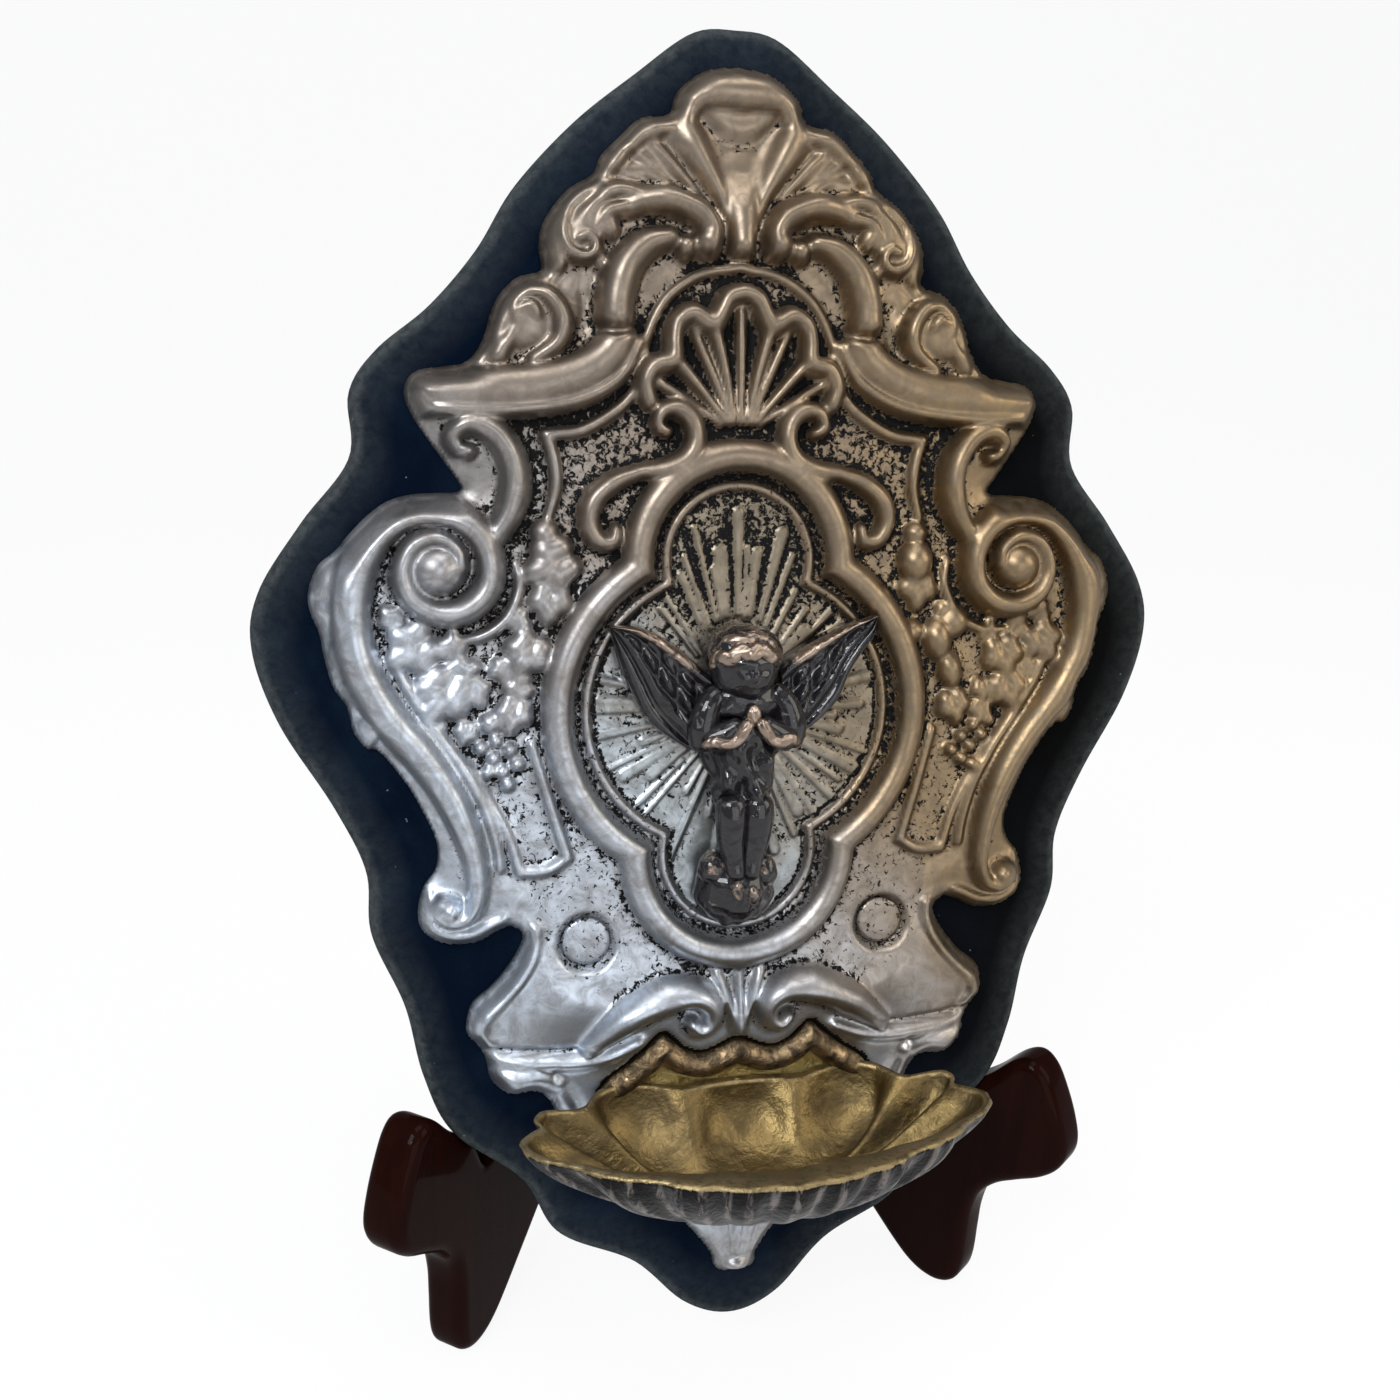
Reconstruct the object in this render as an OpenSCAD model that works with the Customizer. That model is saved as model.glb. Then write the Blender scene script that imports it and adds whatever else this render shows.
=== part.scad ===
// Wall holy-water stoup in a folding plate stand, in millimetres.
// The stoup's own frame has X to the right, Y up along the board and Z out of its front,
// with zero at the middle of the medallion on the face of the velvet.

/* [Board] */
// Width of the velvet-covered board
board_w = 196; // [160:1:235]
// Height of the velvet-covered board
board_h = 279; // [232:1:335]
// Thickness of the wooden core
core_t = 10.8; // [8:0.2:14]
// Thickness of the velvet
velvet_t = 1.2; // [0.8:0.1:2]
// Rounding of the velvet along its edges
velvet_round = 3; // [2:0.25:4]
// Width of the velvet turned in over the back
velvet_turn = 7; // [5:0.5:9]
// Thickness of the card on the back
lining_t = 0.8; // [0.5:0.1:1.5]
// Distance of the card from the board's edge
lining_inset = 3.5; // [2:0.5:6]
// Distance of the tacks from the board's edge
tack_inset = 9.5; // [8:0.5:14]
// Radius of a tack's head
tack_head_r = 2; // [1.5:0.1:2.5]
// Length of a tack in the core
tack_l = 6; // [4:0.5:8]

/* [Plaque] */
// Velvet left showing beside the plaque at its widest
side_margin = 11.5; // [8:0.5:16]
// Velvet left showing above and below the plaque, together
end_margin = 20.5; // [12:0.5:30]
// Thickness of the silver sheet
sheet_t = 1.2; // [0.8:0.1:2]
// Width of the medallion's moulding
frame_w = 5; // [4:0.25:6]
// Height of the medallion's moulding
frame_h = 4.6; // [3:0.2:6]
// Distance from the moulding to the bead inside it
bead_inset = 5.8; // [5.2:0.2:7]
// Width of the bead inside the moulding
bead_w = 1.8; // [1.2:0.1:2.4]
// Number of rays on the glory plate
rays = 36; // [24:2:48]
// Thickness of the glory plate between its rays
glory_t = 0.8; // [0.5:0.1:1.2]
// Height of a ray at the plate's edge
ray_h = 1.1; // [0.6:0.1:1.6]
// Radius of the two nail discs
disc_r = 5.2; // [4:0.2:6]
// Length of a disc's nail
nail_l = 9; // [6:0.5:11]

/* [Angel] */
// Height of the angel with its globe
angel_h = 66; // [55:1:72]
// Radius of the angel's head
head_r = 6.6; // [5.5:0.2:8]
// Radius of the globe
globe_r = 8.7; // [7:0.2:10]
// Radius of the two studs behind the angel
stud_r = 1.1; // [0.8:0.1:1.5]

/* [Bowl] */
// Width of the bowl
bowl_w = 98; // [82:1:117]
// Projection of the bowl from the plaque
bowl_out = 48.3; // [40:0.1:58]
// Distance of the bowl's lowest point from the plate behind it
bowl_low_out = 24; // [16:0.5:30]
// Depth of the bowl outside
bowl_d = 21; // [17:0.5:26]
// Thickness of the bowl's wall
bowl_wall = 1.3; // [1:0.1:2]
// Number of flutes round the bowl
bowl_flutes = 11; // [7:2:15]
// Depth of the flutes
flute_d = 1.1; // [0.6:0.1:1.5]
// Thickness of the plate behind the bowl
back_plate_t = 1; // [0.6:0.1:1.5]
// Radius of a bowl rivet
rivet_r = 1; // [0.8:0.1:1.3]

/* [Hanger] */
// Radius of the hanging ring, to the middle of its wire
ring_r = 9; // [7:0.5:12]
// Radius of the ring's wire
ring_wire_r = 1.2; // [0.9:0.1:1.5]
// Clearance of the ring in its eye
eye_gap = 0.35; // [0.25:0.05:0.6]
// Distance from the eye's hole to the plate
eye_out = 3.6; // [3.2:0.2:5]
// Width of the hanger plate
hanger_w = 12; // [10:0.5:16]
// Length of the hanger plate
hanger_l = 34; // [30:1:42]
// Thickness of the hanger plate
hanger_t = 1.5; // [1:0.1:2]

/* [Stand] */
// Lean of the board from upright, in degrees
lean = 12; // [8:0.5:16]
// Turn of each leg from straight ahead, in degrees
splay = 36; // [32:0.5:40]
// Thickness of a leg
leg_t = 10.5; // [9:0.5:13]
// Rounding of a leg's edges
leg_round = 2.4; // [1:0.2:3]
// Height of the board's lowest point above the floor
tip_lift = 12; // [6:1:20]
// Height of the uprights
upright_h = 178; // [140:1:200]
// Width of an upright at its top
upright_w = 15; // [12:0.5:20]
// Length of a foot on the floor
foot_l = 9; // [7:0.5:12]
// Height of the arch between the feet
arch_h = 24; // [16:1:30]
// Height of the leg's hinged edge
hinge_edge_h = 104; // [90:1:120]
// Clearance between the board and the stand
rest_gap = 0.3; // [0.2:0.05:0.6]

/* [Hinge] */
// Length of the hinge
hinge_l = 54; // [42:1:66]
// Height of the hinge's lower end
hinge_z = 34; // [28:1:44]
// Radius of the hinge's knuckle
knuckle_r = 2.6; // [2.3:0.1:3]
// Radius of the hinge pin
pin_r = 1.4; // [1.2:0.1:1.6]
// Running clearance of the pin
pin_gap = 0.05; // [0.03:0.01:0.1]
// Thickness of a hinge leaf
leaf_t = 1.2; // [1:0.1:1.5]
// Gap between the hinge's moving edges
leaf_gap = 0.4; // [0.3:0.05:0.6]
// Radius of a screw
screw_r = 1.1; // [0.9:0.1:1.3]
// Length of a screw in the wood
screw_l = 8; // [6:0.5:9]

/* [Hidden] */
$fn = 48;

// Clearance round pins, studs and screws in their holes
hole_gap = 0.1;
// How far swept ornament reaches down into the sheet
sink = 0.5;
// Layers, counted from the face of the velvet
core_front = -velvet_t;
core_back = core_front - core_t;
velvet_back = core_back - velvet_t;
back_z = velvet_back - lining_t;
glory_z = sheet_t;
angel_z = glory_z + glory_t + ray_h + 0.1;
bowl_z = sheet_t + back_plate_t;

// A curve through control points, k steps a span
function knot(p, i) = let (n = len(p)) i < 0 ? 2 * p[0] - p[1] : i >= n ? 2 * p[n - 1] - p[n - 2] : p[i];
function span(a, b, c, d, t) =
  b + (c - a) * t / 2 + (2 * a - 5 * b + 4 * c - d) * t * t / 2 + (3 * b - a - 3 * c + d) * t * t * t / 2;
function curve(p, k) = concat(
  [for (i = [0 : len(p) - 2], j = [0 : k - 1])
    span(knot(p, i - 1), knot(p, i), knot(p, i + 1), knot(p, i + 2), j / k)],
  [p[len(p) - 1]]
);
function flip(p) = [-p.x, p.y];
// A half outline from top to bottom on the axis, smoothed and closed by its mirror image
function both_halves(h, k) =
  let (n = len(h), padded = concat([flip(h[1])], h, [flip(h[n - 2])]),
    right = [for (i = [1 : n - 1], j = [0 : k - 1])
      span(padded[i - 1], padded[i], padded[i + 1], padded[i + 2], j / k)],
    m = len(right))
  concat(right, [h[n - 1]], [for (i = [m - 1 : -1 : 1]) flip(right[i])]);
// The same closed outline moved inward along its normals
function inset(p, d) = let (n = len(p)) [for (i = [0 : n - 1])
  let (t = p[(i + 1) % n] - p[(i + n - 1) % n]) p[i] + d * [t.y, -t.x] / norm(t)];
function lift(p, z) = [for (q = p) [q.x, q.y, z]];
function arc(c, r, a, b, n) = [for (i = [0 : n]) let (t = a + (b - a) * i / n) c + r * [cos(t), sin(t)]];
function stretch(p, k) = [for (q = p) [q.x * k.x, q.y * k.y]];

// A skin over equal rings of points, capped at both ends or joined to itself
module loft(rings, joined = false) {
  n = len(rings[0]);
  m = len(rings);
  points = [for (r = rings, q = r) q];
  last = joined ? m - 1 : m - 2;
  sides = [for (i = [0 : last], j = [0 : n - 1])
    let (a = i * n + j, b = i * n + (j + 1) % n,
      c = ((i + 1) % m) * n + (j + 1) % n, d = ((i + 1) % m) * n + j)
    each [[a, c, b], [a, d, c]]];
  caps = joined ? [] : [[for (j = [0 : n - 1]) j], [for (j = [n - 1 : -1 : 0]) (m - 1) * n + j]];
  polyhedron(points, concat(sides, caps), convexity = 12);
}

// Everything inside becomes one faceted skin
module skin() resize([0, 0, 0]) children();

// A bevelled moulding swept along a path on the sheet, with its width at start, middle and end
module moulding(path, w, h, z = sheet_t, joined = false) {
  n = len(path);
  rings = [for (i = [0 : n - 1])
    let (a = joined ? path[(i + n - 1) % n] : path[max(i - 1, 0)],
      b = joined ? path[(i + 1) % n] : path[min(i + 1, n - 1)],
      t = (b - a) / norm(b - a), s = [-t.y, t.x], u = i / (n - 1),
      half = lookup(u, [[0, w[0]], [0.5, w[1]], [1, w[2]]]) / 2,
      top = h * half * 2 / max(w[0], w[1], w[2]))
    [for (e = [1, 0.62, -0.62, -1])
      let (q = path[i] + s * half * e) [q.x, q.y, abs(e) == 1 ? z - sink : z + top]]];
  loft(rings, joined);
}

// A low dome on the sheet
module boss(c, r, h, z = sheet_t, n = 7) {
  function level(k, e) = [for (i = [0 : n - 1])
    let (t = -360 * i / n) [c.x + r * k * cos(t), c.y + r * k * sin(t), e]];
  loft([level(0.45, z + h), level(0.85, z + h * 0.6), level(1, z - sink)]);
}

// The board's outline
board_plan = [196.2, 279];
board_half = [
  [0, 136.6], [9, 135.3], [20.6, 126.8], [32.9, 116.9], [44.7, 104.2], [52.4, 91.9], [61.7, 81.1],
  [72.1, 72.4], [77.6, 64], [78, 51.5], [87.6, 38.8], [96.2, 25.4], [98, 14], [93.5, -1.1],
  [83.7, -18.5], [77.8, -32.5], [77.2, -46], [71, -62], [67.6, -78.1], [61.7, -91.5], [47.3, -103.8],
  [39.5, -117.5], [22.8, -126.6], [11, -138.4], [0, -142.4]
];
board_k = [board_w / board_plan.x, board_h / board_plan.y];
board_line = both_halves(stretch(board_half, board_k), 2);
board_low = -142.4 * board_k.y;

// The plaque's outline
plaque_plan = [173, 258.5];
plaque_half = [
  [0, 128.5], [7, 127.2], [12.5, 123], [14.2, 118.8], [20, 117.5], [26, 112.3], [29.6, 106.5],
  [34, 103.8], [39.3, 97], [40, 88], [44.5, 86.5], [50, 79.5], [53, 72], [60, 69], [66.3, 66.5],
  [65.5, 59.5], [59.5, 50.5], [56, 45], [66, 44.4], [74.5, 40.5], [84.5, 30.5], [86.3, 21.5],
  [84, 12.5], [80, 2.5], [76.5, -6], [68.5, -14.5], [64, -24], [63.8, -32], [67.6, -40.5], [64, -47],
  [55.5, -47.8], [48.5, -45], [47, -50], [53, -58], [58.3, -66.5], [54.5, -74], [51.3, -81.3],
  [45, -82], [36, -95], [18, -110], [9, -119], [3.5, -129.5], [0, -130]
];
plaque_k = [(board_w - 2 * side_margin) / plaque_plan.x, (board_h - end_margin) / plaque_plan.y];
plaque_line = both_halves(stretch(plaque_half, plaque_k), 2);

// The medallion: a top arc, two side arcs and a bottom arc that meet in points
lobe_c = [[0, 31], [3.3, -0.5], [0, -31]];
lobe_r = [21.5, 35.2, 22.5];
function meet(c, r, e, q, side) =
  let (v = e - c, d = norm(v), a = (r * r - q * q + d * d) / (2 * d), h = sqrt(max(r * r - a * a, 0)))
  c + v * a / d + side * h * [-v.y, v.x] / d;
function heading(v) = atan2(v.y, v.x);
function medallion(d, n) =
  let (r = [for (q = lobe_r) q - d],
    up = meet(lobe_c[0], r[0], lobe_c[1], r[1], 1),
    down = meet(lobe_c[1], r[1], lobe_c[2], r[2], 1),
    right = concat(
      arc(lobe_c[0], r[0], 90, heading(up - lobe_c[0]), n),
      [for (q = arc(lobe_c[1], r[1], heading(up - lobe_c[1]), heading(down - lobe_c[1]), n)) q],
      arc(lobe_c[2], r[2], heading(down - lobe_c[2]), -90, n)),
    keep = [for (i = [0 : len(right) - 1]) if (i == 0 || norm(right[i] - right[i - 1]) > 0.01) right[i]],
    m = len(keep))
  stretch(concat(keep, [for (i = [m - 2 : -1 : 1]) flip(keep[i])]), plaque_k);

// Scrolls of the right half: path, widths at start, middle and end, height, steps a span
scrolls = [
  // cornice bands that sweep up to the crest
  [[[65, 63], [55, 62], [45, 62], [35, 65], [28, 70], [22, 76]], [8, 8, 5], 5.6, 2],
  [[[62, 66.8], [50, 67.2], [41, 70]], [3, 3.6, 2.5], 3, 2],
  // thick scroll beside the shell
  [[[13, 94.5], [18, 92.5], [22, 88], [23.5, 82.5], [23.5, 78]], [4, 6.5, 5], 5.2, 2],
  // crest leaf that rolls over at its tip
  [[[7, 95], [12, 100], [20, 103.5], [30, 102.5], [36, 98], [36.5, 93], [33, 91.5]], [3, 5.4, 3], 4.4, 1],
  [[[46, 77], [43, 82.5], [38, 82], [36, 76], [41, 70.5]], [2.6, 4.4, 3], 4.2, 2],
  // fluted second lobe of the crest
  [[[4, 100], [10, 109], [16, 115.5]], [1.6, 3, 4], 3, 1],
  [[[4.5, 99.5], [13, 107], [21, 113.5]], [1.6, 3, 4], 3, 1],
  [[[5, 99], [15, 104.8], [25.5, 109.5]], [1.6, 3, 4], 3, 1],
  // side of the crest's middle palmette
  [[[1.5, 97], [4.5, 109], [8.5, 120.5]], [2, 3.4, 5], 3.6, 1],
  // scroll under the cornice
  [[[58, 54.5], [54, 57], [50, 55], [47.5, 49.5], [47, 44], [49, 38.5], [51.5, 35.5]], [3, 5, 3], 4.6, 1],
  // long band of the side scroll, to its lower curl
  [[[57, 44.3], [66, 42.5], [75, 35], [78.9, 22], [77.5, 10.7], [69.3, -2.9], [60.7, -15.5], [56.4, -28.6],
    [55.6, -38], [59.5, -41.5], [62.5, -39]], [4, 6.8, 3.4], 6, 1],
  [[[65.5, -40], [62.5, -45], [57, -45.4], [52.5, -43]], [2.4, 3, 2.4], 2.4, 1],
  // moulding round the field
  [[[39.5, 40], [38, 47], [39.5, 55], [33, 56.5], [22, 64], [20, 72], [15, 84], [8, 88.5], [0, 89.5]],
    [2.4, 2.4, 2.4], 2.2, 1],
  // pair of scrolls on the medallion's shoulder
  [[[17.5, 58], [15, 61.5], [11, 60], [9.5, 55], [13, 50], [21, 48.5]], [2.6, 4.2, 3.4], 4, 1],
  [[[22, 47.5], [27, 45.5], [31, 42], [31.5, 38], [29.5, 35], [27, 35.5]], [3, 4.4, 2.6], 4.2, 1],
  // tapered panel
  [[[43.6, -8], [39.6, -20], [36, -31.5]], [2, 2, 2], 1.8, 1],
  [[[36, -32], [46.4, -33.6]], [2, 2, 2], 1.8, 1],
  [[[46.4, -33], [50, -23], [57.9, -9.3]], [2, 2, 2], 1.8, 1],
  // garland stem
  [[[46.4, 30], [45.7, 25.5], [48.6, 19.3], [53.6, 16]], [1.6, 2.8, 1.6], 2.6, 1],
  // skirt scrolls, edge and rail
  [[[31, -70.5], [22.9, -64.3], [16.4, -62.1], [10, -62.9], [6.4, -65.7], [9, -69.3]], [4, 5.4, 3], 5.4, 1],
  [[[43.6, -48], [45.5, -54], [50.5, -60.5], [54.5, -66.5], [53.5, -71]], [2.6, 3.6, 3], 3.2, 1],
  [[[53.5, -73.4], [45, -74.8], [35, -75.2], [32, -75]], [3, 3.6, 3], 3, 1],
  [[[53, -78], [49, -80.3], [44, -79.3]], [2.4, 3.4, 2.6], 2.4, 1]
];
// Round buds, eyes, leaves and fruit of the right half: centre, radius, height
bosses = [
  [[60.5, 30], 5.4, 4], [[55.2, 52.4], 2.6, 3.4], [[60, -38], 2, 3], [[43, 78.2], 2.2, 3.4],
  [[13.8, 57.5], 2, 3.4],
  [[39.8, 36], 3, 3.4], [[40.2, 30], 4.4, 3.8], [[40, 23.5], 4, 3.2], [[45, 13.6], 3.8, 3.4],
  [[48, 6.6], 3.6, 2.8],
  [[57.6, 8], 4.2, 2.6], [[66, 13.6], 4.4, 2.6], [[61.5, 3.4], 3.8, 2.4]
];
// Grapes of the right half
grape_r = 1.9;
grapes = [[51.6, -3.6], [54, -6.2], [49.6, -6.4], [52, -8.6], [48.2, -10.2], [50.6, -12.4]];
// Ruffles of the leaf along the side scroll: root and tip of the first and the last
ruffles = 6;
ruffle_first = [[80.5, 29], [85.2, 28]];
ruffle_last = [[73.8, -1.5], [77.5, -4.6]];
// Scallop shell: base, rim of the right half, lobes of the fan
shell_base = [0, 56.5];
shell_rim = [[18.3, 63.5], [18, 69.5], [13.6, 72], [11.4, 78.6], [5.6, 78.4], [0, 84]];
shell_flutes = [[0, 81.5], [5.2, 76.5], [10.4, 76.4], [12.8, 70.4], [16.4, 68]];
// Pendant tail under the bowl
pendant_top = -105.5;
pendant_tip = -129;
pendant_w = 19;
pendant_flutes = 5;
// Nail discs
disc_at = [33, -49.3];
// Studs behind the angel, rivets of the bowl
stud_at = [[0, 6], [0, -24]];
rivet_at = [[-20, -84.6], [0, -84.6], [20, -84.6]];

module both() {
  children();
  mirror([1, 0, 0]) children();
}

function on_plaque(p) = [p.x * plaque_k.x, p.y * plaque_k.y];

module nail_hole(p, r) translate([p.x, p.y, core_back]) cylinder(r = r + hole_gap, h = core_t + velvet_t + 4);

module stand_frame() translate([0, -depth_middle, 0]) children();
module stoup_frame() stand_frame() translate([0, 0, middle_z]) rotate([90 - lean, 0, 0]) children();

tack_line = inset(board_line, tack_inset);
// Tacks keep off the stretch of the edge that the uprights touch
tack_at = [for (i = [0 : 4 : len(tack_line) - 1])
  let (p = tack_line[i]) if (p.y > -60 * board_k.y || abs(p.x) < 20 * board_k.x) p];
tack_shank_r = 0.6;
tack_head_t = 0.7;
hanger_y = 98 * board_k.y;
hanger_screw_at = [hanger_y + hanger_l / 2 - hanger_w / 2, hanger_y - hanger_l / 2 + hanger_w / 2];
hanger_screw_head = 0.8;

module backing_board() color("saddlebrown") stoup_frame() difference() {
  translate([0, 0, core_back]) linear_extrude(core_t) polygon(inset(board_line, velvet_t + hole_gap));
  for (p = tack_at)
    translate([p.x, p.y, core_back - 1]) cylinder(r = tack_shank_r + hole_gap, h = tack_l + 1 + hole_gap);
  for (y = hanger_screw_at)
    translate([0, y, core_back - 1]) cylinder(r = screw_r + hole_gap, h = screw_l + 1 + hole_gap);
  both() translate([disc_at.x * plaque_k.x, disc_at.y * plaque_k.y, core_front - nail_l - hole_gap])
    cylinder(r = rivet_r + hole_gap, h = nail_l + 1 + hole_gap);
}

module velvet_cover() color("midnightblue") stoup_frame() skin() difference() {
  r = velvet_round;
  loft([
    lift(inset(board_line, r), 0),
    lift(inset(board_line, r * 0.3), -r * 0.3),
    lift(board_line, -r),
    lift(board_line, velvet_back + r * 0.6),
    lift(inset(board_line, r * 0.6), velvet_back),
    lift(inset(board_line, velvet_turn), velvet_back),
    lift(inset(board_line, velvet_turn), core_back),
    lift(inset(board_line, velvet_t), core_back),
    lift(inset(board_line, velvet_t), core_front)
  ]);
  both() nail_hole(on_plaque(disc_at), rivet_r, $fn = 10);
}

module back_lining() color("tan") stoup_frame() difference() {
  translate([0, 0, back_z]) linear_extrude(lining_t) polygon(inset(board_line, lining_inset));
  for (p = tack_at) translate([p.x, p.y, back_z - 1]) cylinder(r = tack_shank_r + hole_gap, h = lining_t + 2);
  for (y = hanger_screw_at) translate([0, y, back_z - 1]) cylinder(r = screw_r + hole_gap, h = lining_t + 2);
}

module lining_tacks() color("goldenrod") stoup_frame() for (p = tack_at) translate([p.x, p.y, back_z]) {
  translate([0, 0, -tack_head_t]) cylinder(r = tack_head_r, h = tack_head_t);
  translate([0, 0, -tack_head_t / 2])
    cylinder(r = tack_shank_r, h = core_back - back_z + tack_l + tack_head_t / 2);
}

module shell_fan() {
  half = stretch(shell_rim, plaque_k);
  right = curve(half, 2);
  rim = concat(right, [for (i = [len(right) - 2 : -1 : 0]) flip(right[i])]);
  moulding(rim, [2.4, 3.4, 2.4], 5.4);
  base = on_plaque(shell_base);
  for (f = shell_flutes, s = f.x > 0 ? [-1, 1] : [1])
    moulding([base + [s, 0] * f.x * 0.1, (base + on_plaque([s * f.x, f.y])) / 2, on_plaque([s * f.x, f.y])],
      [1.4, 3.4, 4.6], 4.6);
}

module palmette() {
  moulding(stretch([[0, 93], [0, 106], [0, 121]], plaque_k), [2, 3.6, 6], 4);
  rim = [[-12.4, 119.8], [-8.6, 123.6], [0, 125.4], [8.6, 123.6], [12.4, 119.8]];
  moulding(stretch(curve(rim, 2), plaque_k), [2.4, 3.4, 2.4], 3.4);
  for (s = [-1, 0, 1])
    moulding(stretch([[s * 0.8, -70], [s * 2.4, -64], [s * 4.4, -58]], plaque_k), [1.2, 2, 2.8], 3);
}

module pendant() for (i = [0 : pendant_flutes - 1]) {
  u = 2 * i / (pendant_flutes - 1) - 1;
  middle = (pendant_top + pendant_tip) / 2 - 1;
  path = [[u * pendant_w / 2, pendant_top], [u * pendant_w / 3, middle], [u * 1.6, pendant_tip]];
  moulding(stretch(path, plaque_k), [5.4, 4.2, 1.8], 6.4 - 2.4 * abs(u));
}

module ruffle_edge() for (i = [0 : ruffles - 1]) {
  u = i / (ruffles - 1);
  root = ruffle_first[0] * (1 - u) + ruffle_last[0] * u + [3.4 * sin(180 * u), 0];
  tip = ruffle_first[1] * (1 - u) + ruffle_last[1] * u + [3.4 * sin(180 * u), 0];
  moulding(stretch([root, tip], plaque_k), [2.6, 3.8, 4.8], 2.6);
}

module silver_plaque() color("silver") stoup_frame() skin() difference() {
  union() {
    linear_extrude(sheet_t) polygon(plaque_line);
    moulding(medallion(0, 5), [frame_w, frame_w, frame_w], frame_h, sheet_t, true);
    moulding(medallion(bead_inset, 4), [bead_w, bead_w, bead_w], bead_w, sheet_t, true);
    both() {
      for (s = scrolls) moulding(stretch(curve(s[0], s[3]), plaque_k), s[1], s[2]);
      for (b = bosses) boss(on_plaque(b[0]), b[1], b[2]);
      for (g = grapes) boss(on_plaque(g), grape_r, grape_r * 1.4, sheet_t, 6);
      moulding(arc(on_plaque([60.5, 30]), 8, 0, 324, 9), [4, 4, 4], 4.6, sheet_t, true);
      ruffle_edge();
    }
    shell_fan();
    palmette();
    pendant();
  }
  both() nail_hole(on_plaque(disc_at), rivet_r, $fn = 10);
  for (p = rivet_at) nail_hole(on_plaque(p), rivet_r, $fn = 10);
  for (p = stud_at) nail_hole(on_plaque(p), stud_r, $fn = 10);
}

// The glory plate fills the space inside the bead: its reach along each ray
glory_gap = 0.3;
glory_edge = medallion(bead_inset + bead_w / 2 + glory_gap, 4);
glory_turns = 2 * rays;
function reach(a) = max([for (i = [0 : len(glory_edge) - 1])
  let (p = glory_edge[i], q = glory_edge[(i + 1) % len(glory_edge)], v = [cos(a), sin(a)], w = q - p,
    d = v.x * w.y - v.y * w.x, t = (p.x * w.y - p.y * w.x) / d, u = (p.x * v.y - p.y * v.x) / d)
  abs(d) > 0.000001 && u >= -0.001 && u <= 1.001 && t > 0 ? t : 0]);
glory_far = [for (i = [0 : glory_turns - 1])
  let (a = 360 * i / glory_turns, e = 180 / glory_turns) min(reach(a - e), reach(a), reach(a + e)) - 0.1];
function glory_ring(k, z, rise) = [for (i = [0 : glory_turns - 1])
  let (a = 360 * i / glory_turns, r = glory_far[i] * k)
  [r * cos(a), r * sin(a), z + (i % 2 == 0 ? rise : 0)]];

module glory_plate() color("gainsboro") stoup_frame() skin() difference() {
  loft([
    glory_ring(1, glory_z, 0),
    glory_ring(1, glory_z + glory_t, ray_h),
    glory_ring(0.55, glory_z + glory_t, ray_h),
    glory_ring(0.15, glory_z + glory_t, 0)
  ]);
  for (p = stud_at) nail_hole(on_plaque(p), stud_r, $fn = 10);
}

// Feathers of the right wing: root, bend and tip
feathers = [
  [[6, 7], [15, 13], [30, 18.6]], [[6, 5], [16, 9.5], [28.4, 14.6]], [[6, 3], [15.5, 5.6], [26, 10]],
  [[6, 1], [14.5, 1.6], [23.4, 4.8]], [[6, -1], [13, -2], [20.6, -0.6]], [[6, -3], [11, -4.6], [16.6, -4.8]]
];
// Neck and robe down to the hem: height, half width, depth
robe = [
  [9, 3, 7], [5, 4, 6.6], [1, 8, 8.6], [-5, 8.8, 10.4], [-10, 7.2, 9.6], [-18, 6.6, 8.4], [-26, 5.4, 7],
  [-33, 4.4, 5.6]
];
angel_plan = 66.5;
head_at = 11.6;
globe_at = -38.4;

module angel_figure() color("dimgray") stoup_frame() skin() difference() {
  k = angel_h / angel_plan;
  intersection() {
    union() {
      scale([k, k, 1]) {
        both() {
          for (f = feathers) moulding(curve(f, 2), [3, 5.6, 3.4], 4.6, angel_z);
          // sleeve from the shoulder over the elbow to the hands
          moulding([[7, 3], [10, -3], [9.4, -8], [4, -5], [0.6, -2]], [4, 6, 3.4], 13.5, angel_z);
          translate([2.4, -38, angel_z + 7.4]) scale([1, 1.5, 1]) sphere(2.1, $fn = 6);
        }
        loft([for (r = robe) [for (e = [0 : 6])
          [r[1] * cos(30 * e), r[0], angel_z - 1 + (r[2] + 1) * sin(30 * e)]]]);
      }
      translate([0, head_at * k, angel_z + head_r]) {
        sphere(head_r, $fn = 12);
        for (a = [20 : 35 : 160]) translate((head_r - 0.8) * [cos(a), sin(a), 0.1]) sphere(2.1, $fn = 6);
        for (s = [-1, 1]) translate([s * 1.8, head_r * 0.72, head_r * 0.55]) sphere(1.9, $fn = 6);
      }
      translate([0, globe_at * k, angel_z]) sphere(globe_r, $fn = 14);
    }
    translate([-60, -80, angel_z]) cube([120, 140, 30]);
  }
  for (p = stud_at) translate([p.x * plaque_k.x, p.y * plaque_k.y, angel_z - 1])
    cylinder(r = stud_r + hole_gap, h = 4, $fn = 12);
}

module angel_studs() color("gray") stoup_frame() for (p = stud_at)
  translate([p.x * plaque_k.x, p.y * plaque_k.y, 0.3]) cylinder(r = stud_r, h = angel_z + 2.9 - 0.3);

module plaque_nails() color("lightgray") stoup_frame() both()
  translate([disc_at.x * plaque_k.x, disc_at.y * plaque_k.y, 0]) {
    translate([0, 0, sheet_t]) rotate_extrude()
      polygon([[0, 0], [disc_r, 0], [disc_r, 0.9], [disc_r - 0.5, 1.3], [disc_r - 1.2, 1.3],
        [disc_r - 1.5, 0.9], [0, 0.9]]);
    translate([0, 0, core_front - nail_l]) cylinder(r = rivet_r, h = nail_l + velvet_t + sheet_t + 0.4);
  }

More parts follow.
